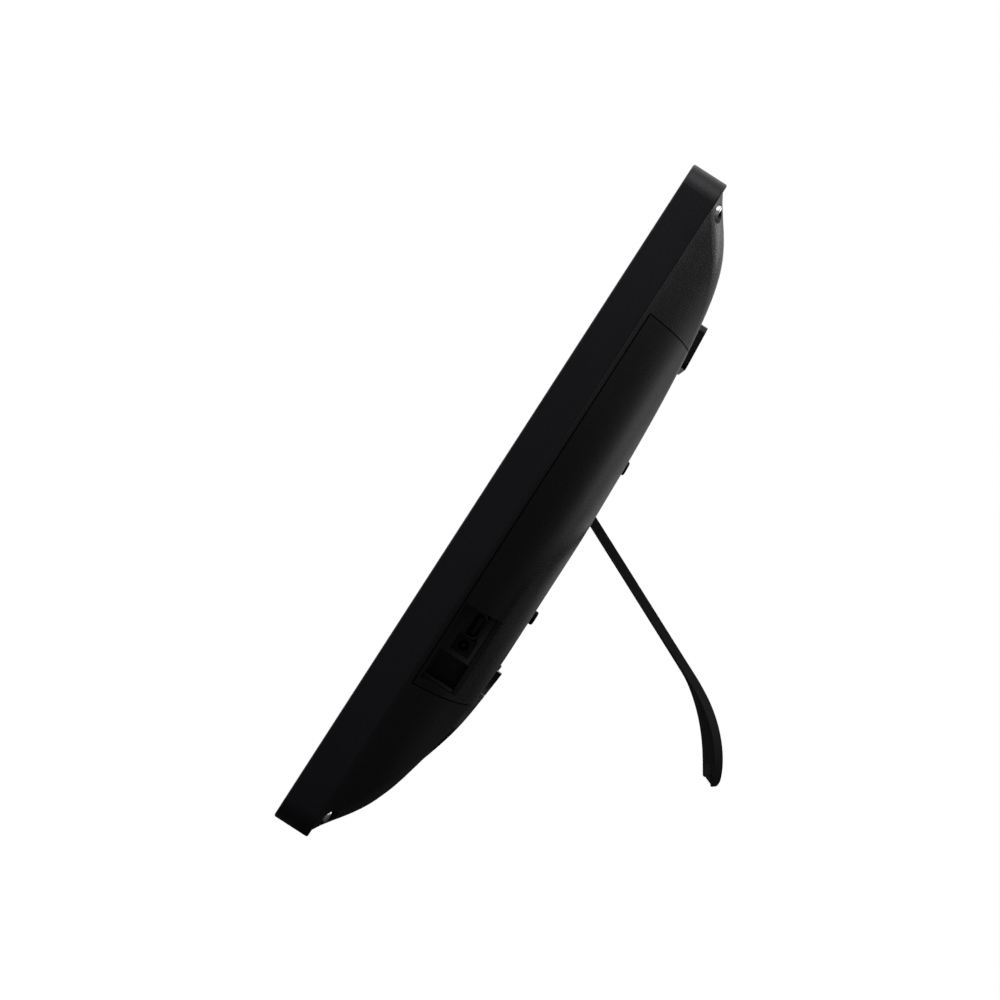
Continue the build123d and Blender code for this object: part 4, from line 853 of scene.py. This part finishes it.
def ribbon_film(name, node):
    finish = Finish(name, {"Coat Roughness": 0.1})
    where = finish.place(middle(node), UPRIGHT)
    z = finish.along(where)[2]
    copper = grid_lines(finish, z, RIBBON_PITCH, 0.55)
    ripple = finish.noise(where, 0.008, detail=3.0)
    finish.put("Base Color", finish.mix(copper, FILM_AMBER, FILM_COPPER))
    finish.put("Coat Weight", 0.3 + ripple * 0.3)
    finish.put("Roughness", 0.24 + ripple * 0.12)
    finish.bump(copper * 0.5 + ripple, 0.00004)
    return finish.material


for ribbon in ("lcd_ribbon", "key_ribbon"):
    dress(ribbon_film(ribbon + "_film", ribbon), ribbon)


# ------------------------------------------------------------------ sockets
# A mini USB socket in a folded shell, black nickel plated, round a black tongue, a round power jack
# in black nylon with the same plating on its pin, and a card socket under a stamped steel cover.
TONGUE_HALF = (0.00052, 0.00235)
JACK_PIN_R = 0.0004
PLATED_DARK = (0.012, 0.012, 0.013)
PLATED_LIGHT = (0.030, 0.030, 0.032)
NYLON_BLACK = (0.0030, 0.0030, 0.0032)
NYLON_WORN = (0.0070, 0.0070, 0.0074)
COVER_STEEL = ((0.46, 0.47, 0.48), (0.66, 0.67, 0.67))


def black_nickel_on_nylon(name, node, is_metal):
    """A socket in two stuffs: black nickel where is_metal says so, and black nylon elsewhere."""
    finish = Finish(name, {"Specular IOR Level": 0.1})
    where = finish.place(middle(node), UPRIGHT)
    metal = is_metal(*finish.along(where))
    cloud = finish.noise(where, 0.0015, detail=4.0, roughness=0.6)
    brushed = finish.noise(finish.place(turn=UPRIGHT, scale=(14, 1, 1)), 0.0002, detail=3.0)
    nylon = finish.mix(cloud, NYLON_BLACK, NYLON_WORN)
    nickel = finish.mix(brushed * 0.5 + cloud * 0.5, PLATED_DARK, PLATED_LIGHT)
    finish.put("Base Color", finish.mix(metal, nylon, nickel))
    finish.put("Metallic", metal)
    finish.put("Roughness", 0.40 - metal * 0.12 + cloud * 0.14)
    finish.bump(brushed * 0.6 + cloud * 0.4, 0.00001)
    return finish.material


def round_the_tongue(x, y, z):
    inside = (y.size() < TONGUE_HALF[0]) * (z.size() < TONGUE_HALF[1])
    return 1 - inside


def jack_pin(x, y, z):
    return (y * y + z * z) < JACK_PIN_R ** 2


dress(black_nickel_on_nylon("usb_nickel", "usb_socket", round_the_tongue), "usb_socket")
dress(black_nickel_on_nylon("jack_nylon", "dc_jack", jack_pin), "dc_jack")
dress(sheet_steel("card_cover_steel", *COVER_STEEL, roughness=0.30), "card_socket")


# ------------------------------------------------------------------ port plate
# The plate at the bottom of the recess in the right flank is moulded apart from the shell, in a
# slightly greyer black with a smooth face, and carries the openings of both sockets. Its colour is
# also painted lighter still, as painted light in place of what the shade of the recess takes from it.
# lighter than the plate's own grey: partly painted light against the shade of the recess
PLATE_DARK = (0.0170, 0.0172, 0.0186)
PLATE_LIGHT = (0.0240, 0.0242, 0.0260)

dress(moulded_plastic("port_plate_plastic", PLATE_DARK, PLATE_LIGHT,
                      roughness=0.40, grain=0.0003, depth=0.000008), "port_plate")


# ------------------------------------------------------------------ speakers and their leads
# Two small round speakers: a black lacquered steel basket, a pressed paper cone with fine fibres and
# a shiny dome over the coil. A twin of thin insulated leads runs from them to the main board.
CONE_R = 0.0070
DOME_R = 0.0027
CONE_WAVE = 0.0011
BASKET_BLACK = (0.012, 0.012, 0.013)
DOME_BLACK = (0.030, 0.030, 0.034)
PAPER_DARK = (0.016, 0.015, 0.014)
PAPER_LIGHT = (0.050, 0.047, 0.043)
LEAD_RED = (0.30, 0.012, 0.010)
LEAD_BLACK = (0.010, 0.010, 0.010)
LEAD_DUSTY = (0.12, 0.10, 0.09)
LEADS_PART_X = -0.005       # left of this lies only the left lead, and below the other only it too
LEADS_PART_Z = 0.020        # above the middle of the main board


def speaker_finish(name, node):
    finish = Finish(name)
    where = finish.place(middle(node), UPRIGHT)
    x, y, z = finish.along(where)
    radius = (x * x + z * z).math("SQRT")
    paper = (radius < CONE_R) * (y > 0)
    dome = (radius < DOME_R) * paper
    fibres = finish.noise(finish.place(turn=UPRIGHT, scale=(1, 1, 5)), 0.0003, detail=5.0, roughness=0.7)
    waves = (radius / CONE_WAVE).math("FRACT").smooth(0.2, 0.8)
    pressed = finish.mix(fibres, PAPER_DARK, PAPER_LIGHT)
    covered = finish.mix(dome, pressed, DOME_BLACK)
    finish.put("Base Color", finish.mix(paper, BASKET_BLACK, covered))
    finish.put("Roughness", 0.35 + (paper - dome) * 0.5 + fibres * 0.05)
    finish.bump(fibres * 0.4 + waves * (paper - dome) * 0.6, 0.00008)
    return finish.material


def lead_insulation():
    """Soft vinyl, red on the right speaker's lead and black on the left one's."""
    finish = Finish("lead_insulation")
    where = finish.place(middle("main_board") * Vector((0, 1, 1)), UPRIGHT)
    x, _, z = finish.along(where)
    cloud = finish.noise(where, 0.004, detail=4.0)
    right = (x > LEADS_PART_X) * (z > LEADS_PART_Z)
    vinyl = finish.mix(right, LEAD_BLACK, LEAD_RED)
    finish.put("Base Color", finish.mix(cloud * 0.3, vinyl, LEAD_DUSTY))
    finish.put("Roughness", 0.36 + cloud * 0.14)
    finish.bump(finish.noise(where, 0.0005, detail=2.0), 0.00002)
    return finish.material


for side in ("left", "right"):
    dress(speaker_finish(f"speaker_{side}_finish", "speaker_" + side), "speaker_" + side)
dress(lead_insulation(), "speaker_leads")


# ------------------------------------------------------------------ rear shell
# A deep moulding in the same black ABS as the bezel, drawn in from all four sides. Its outside has a
# coarser eroded texture, and the rim round the foot of the leg is moulded with it.
SHELL_DARK = (0.0030, 0.0030, 0.0036)
SHELL_LIGHT = (0.0054, 0.0054, 0.0062)

dress(moulded_plastic("shell_plastic", SHELL_DARK, SHELL_LIGHT,
                      roughness=0.34, grain=0.00045, depth=0.000022), "rear_shell")


# ------------------------------------------------------------------ back panel and bumpers
# The cover glued over the crest of the shell is a smoother satin black, and carries four domed rubber
# bumpers that keep the frame off a wall. Rubber is dull and picks up a little dust.
PANEL_DARK = (0.0032, 0.0032, 0.0038)
PANEL_LIGHT = (0.0056, 0.0056, 0.0064)
RUBBER_DARK = (0.0022, 0.0022, 0.0022)
RUBBER_DUSTY = (0.0100, 0.0098, 0.0094)


def rubber(name, grain=0.0003):
    finish = Finish(name, {"Specular IOR Level": 0.12})
    where = finish.place(turn=UPRIGHT)
    cloud = finish.noise(where, 0.0022, detail=5.0, roughness=0.65)
    pores = finish.cells(where, grain).smooth(0.05, 0.5)
    finish.put("Base Color", finish.mix(cloud.smooth(0.4, 0.85), RUBBER_DARK, RUBBER_DUSTY))
    finish.put("Roughness", 0.72 + cloud * 0.18)
    finish.bump(pores, 0.00002)
    return finish.material


dress(moulded_plastic("panel_plastic", PANEL_DARK, PANEL_LIGHT,
                      roughness=0.28, grain=0.00030, depth=0.000010), "back_panel")
dress(rubber("bumper_rubber"), "wall_bumpers")


# ------------------------------------------------------------------ hinge and stand
# The leg turns on a ground steel pin between the ears of a plated bracket, against two washers that
# make it stay where it is put. It is moulded in black nylon, with a rubber pad let into its toe.
LEG_DARK = (0.0262, 0.0262, 0.0280)
LEG_LIGHT = (0.0376, 0.0376, 0.0396)
WASHER_STEEL = ((0.50, 0.48, 0.44), (0.66, 0.64, 0.58))
GROUND_STEEL = ((0.58, 0.58, 0.58), (0.80, 0.80, 0.80))

dress(sheet_steel("bracket_steel"), "hinge_bracket")
dress(sheet_steel("washer_steel", *WASHER_STEEL, roughness=0.3), "hinge_washers")
dress(sheet_steel("pin_steel", *GROUND_STEEL, roughness=0.18), "hinge_pin")
dress(moulded_plastic("leg_plastic", LEG_DARK, LEG_LIGHT,
                      roughness=0.66, grain=0.0004, depth=0.000012, gloss=0.02), "stand_leg")
dress(rubber("pad_rubber", grain=0.0005), "stand_foot_pad")


# ------------------------------------------------------------------ buttons
# Six round caps in line near one side of the back, moulded in black ABS and polished, each over a
# switch on the key board. Each carries a small raised sign for what it does, with grey paint on it.
BUTTON_DARK = (0.0060, 0.0060, 0.0066)
BUTTON_LIGHT = (0.0090, 0.0090, 0.0098)
SIGN_LINE_R = 0.00015
SIGN_GREY = (0.42, 0.42, 0.42)
SIGN_WORN = (0.16, 0.16, 0.16)


def ring(centre, radius, first, last, steps=24):
    """Points on an arc, by its first and last angle in degrees."""
    angles = [math.radians(first + (last - first) * step / steps) for step in range(steps + 1)]
    x, y = centre
    return [(x + radius * math.cos(angle), y + radius * math.sin(angle)) for angle in angles]


SIGNS = {
    # lines of each sign in millimetres, to the right and up as they are read from behind
    "back": ([(-1.0, 0.35), (0.3, 0.35), *ring((0.3, -0.2), 0.55, 90, -90, steps=12), (-0.6, -0.75)],
             [(-0.45, 0.9), (-1.0, 0.35), (-0.45, -0.2)]),
    "play": ([(-0.65, -0.95), (1.05, 0.0), (-0.65, 0.95), (-0.65, -0.95), (-0.23, -0.7)],),
    "enter": (ring((0, 0), 1.0, 0, 375), ring((0, 0), 0.25, 0, 390, steps=12)),
    "down": ([(-1.0, 0.45), (0.0, -0.55), (1.0, 0.45)],),
    "up": ([(-1.0, -0.45), (0.0, 0.55), (1.0, -0.45)],),
    "power": (ring((0, -0.15), 1.05, 125, 415), [(0.0, 0.2), (0.0, 1.3)]),
}


def raised_sign(button, lines, material):
    """Lays the lines of a sign over a cap's curved top, as round ridges half sunk in it."""
    cap = upright_copy(button)
    top = BVHTree.FromBMesh(cap)
    sides = [[vert.co[axis] for vert in cap.verts] for axis in range(3)]
    x, _, z = [(min(side) + max(side)) / 2 for side in sides]
    above = max(sides[1]) + SIGN_LINE_R
    cap.free()
    curve = bpy.data.curves.new(button + "_sign", "CURVE")
    curve.dimensions = "3D"
    curve.bevel_depth = SIGN_LINE_R
    curve.bevel_resolution = 3
    curve.use_fill_caps = True
    for line in lines:
        spline = curve.splines.new("POLY")
        spline.points.add(len(line) - 1)
        for point, (right, up) in zip(spline.points, line):
            start = Vector((x - right / 1000, above, z + up / 1000))
            point.co = (*top.ray_cast(start, Vector((0, -1, 0)))[0], 1)
    drawn = new_piece(button + "_lines", curve)
    settled = drawn.evaluated_get(bpy.context.evaluated_depsgraph_get())
    mesh = bpy.data.meshes.new_from_object(settled)
    bpy.data.objects.remove(drawn)
    mesh.transform(LEANING)
    mesh.materials.clear()
    mesh.materials.append(material)
    sign = new_piece(button + "_sign", mesh)
    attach(sign, button)


def sign_paint():
    """Pale grey paint rolled over the ridges, thin where a thumb has rubbed it."""
    finish = Finish("sign_paint", {"Specular IOR Level": 0.35})
    where = finish.place(turn=UPRIGHT)
    worn = finish.noise(where, 0.0007, detail=5.0, roughness=0.65).smooth(0.5, 0.7)
    finish.put("Base Color", finish.mix(worn, SIGN_GREY, SIGN_WORN))
    finish.put("Roughness", 0.42 + worn * 0.15)
    finish.bump(finish.noise(where, 0.0002, detail=3.0), 0.000006)
    return finish.material


button_plastic = moulded_plastic("button_plastic", BUTTON_DARK, BUTTON_LIGHT,
                                 roughness=0.26, grain=0.0003, depth=0.000005, gloss=0.35)
dress(button_plastic, *["button_" + name for name in SIGNS])
grey_paint = sign_paint()
for name, lines in SIGNS.items():
    raised_sign("button_" + name, lines, grey_paint)
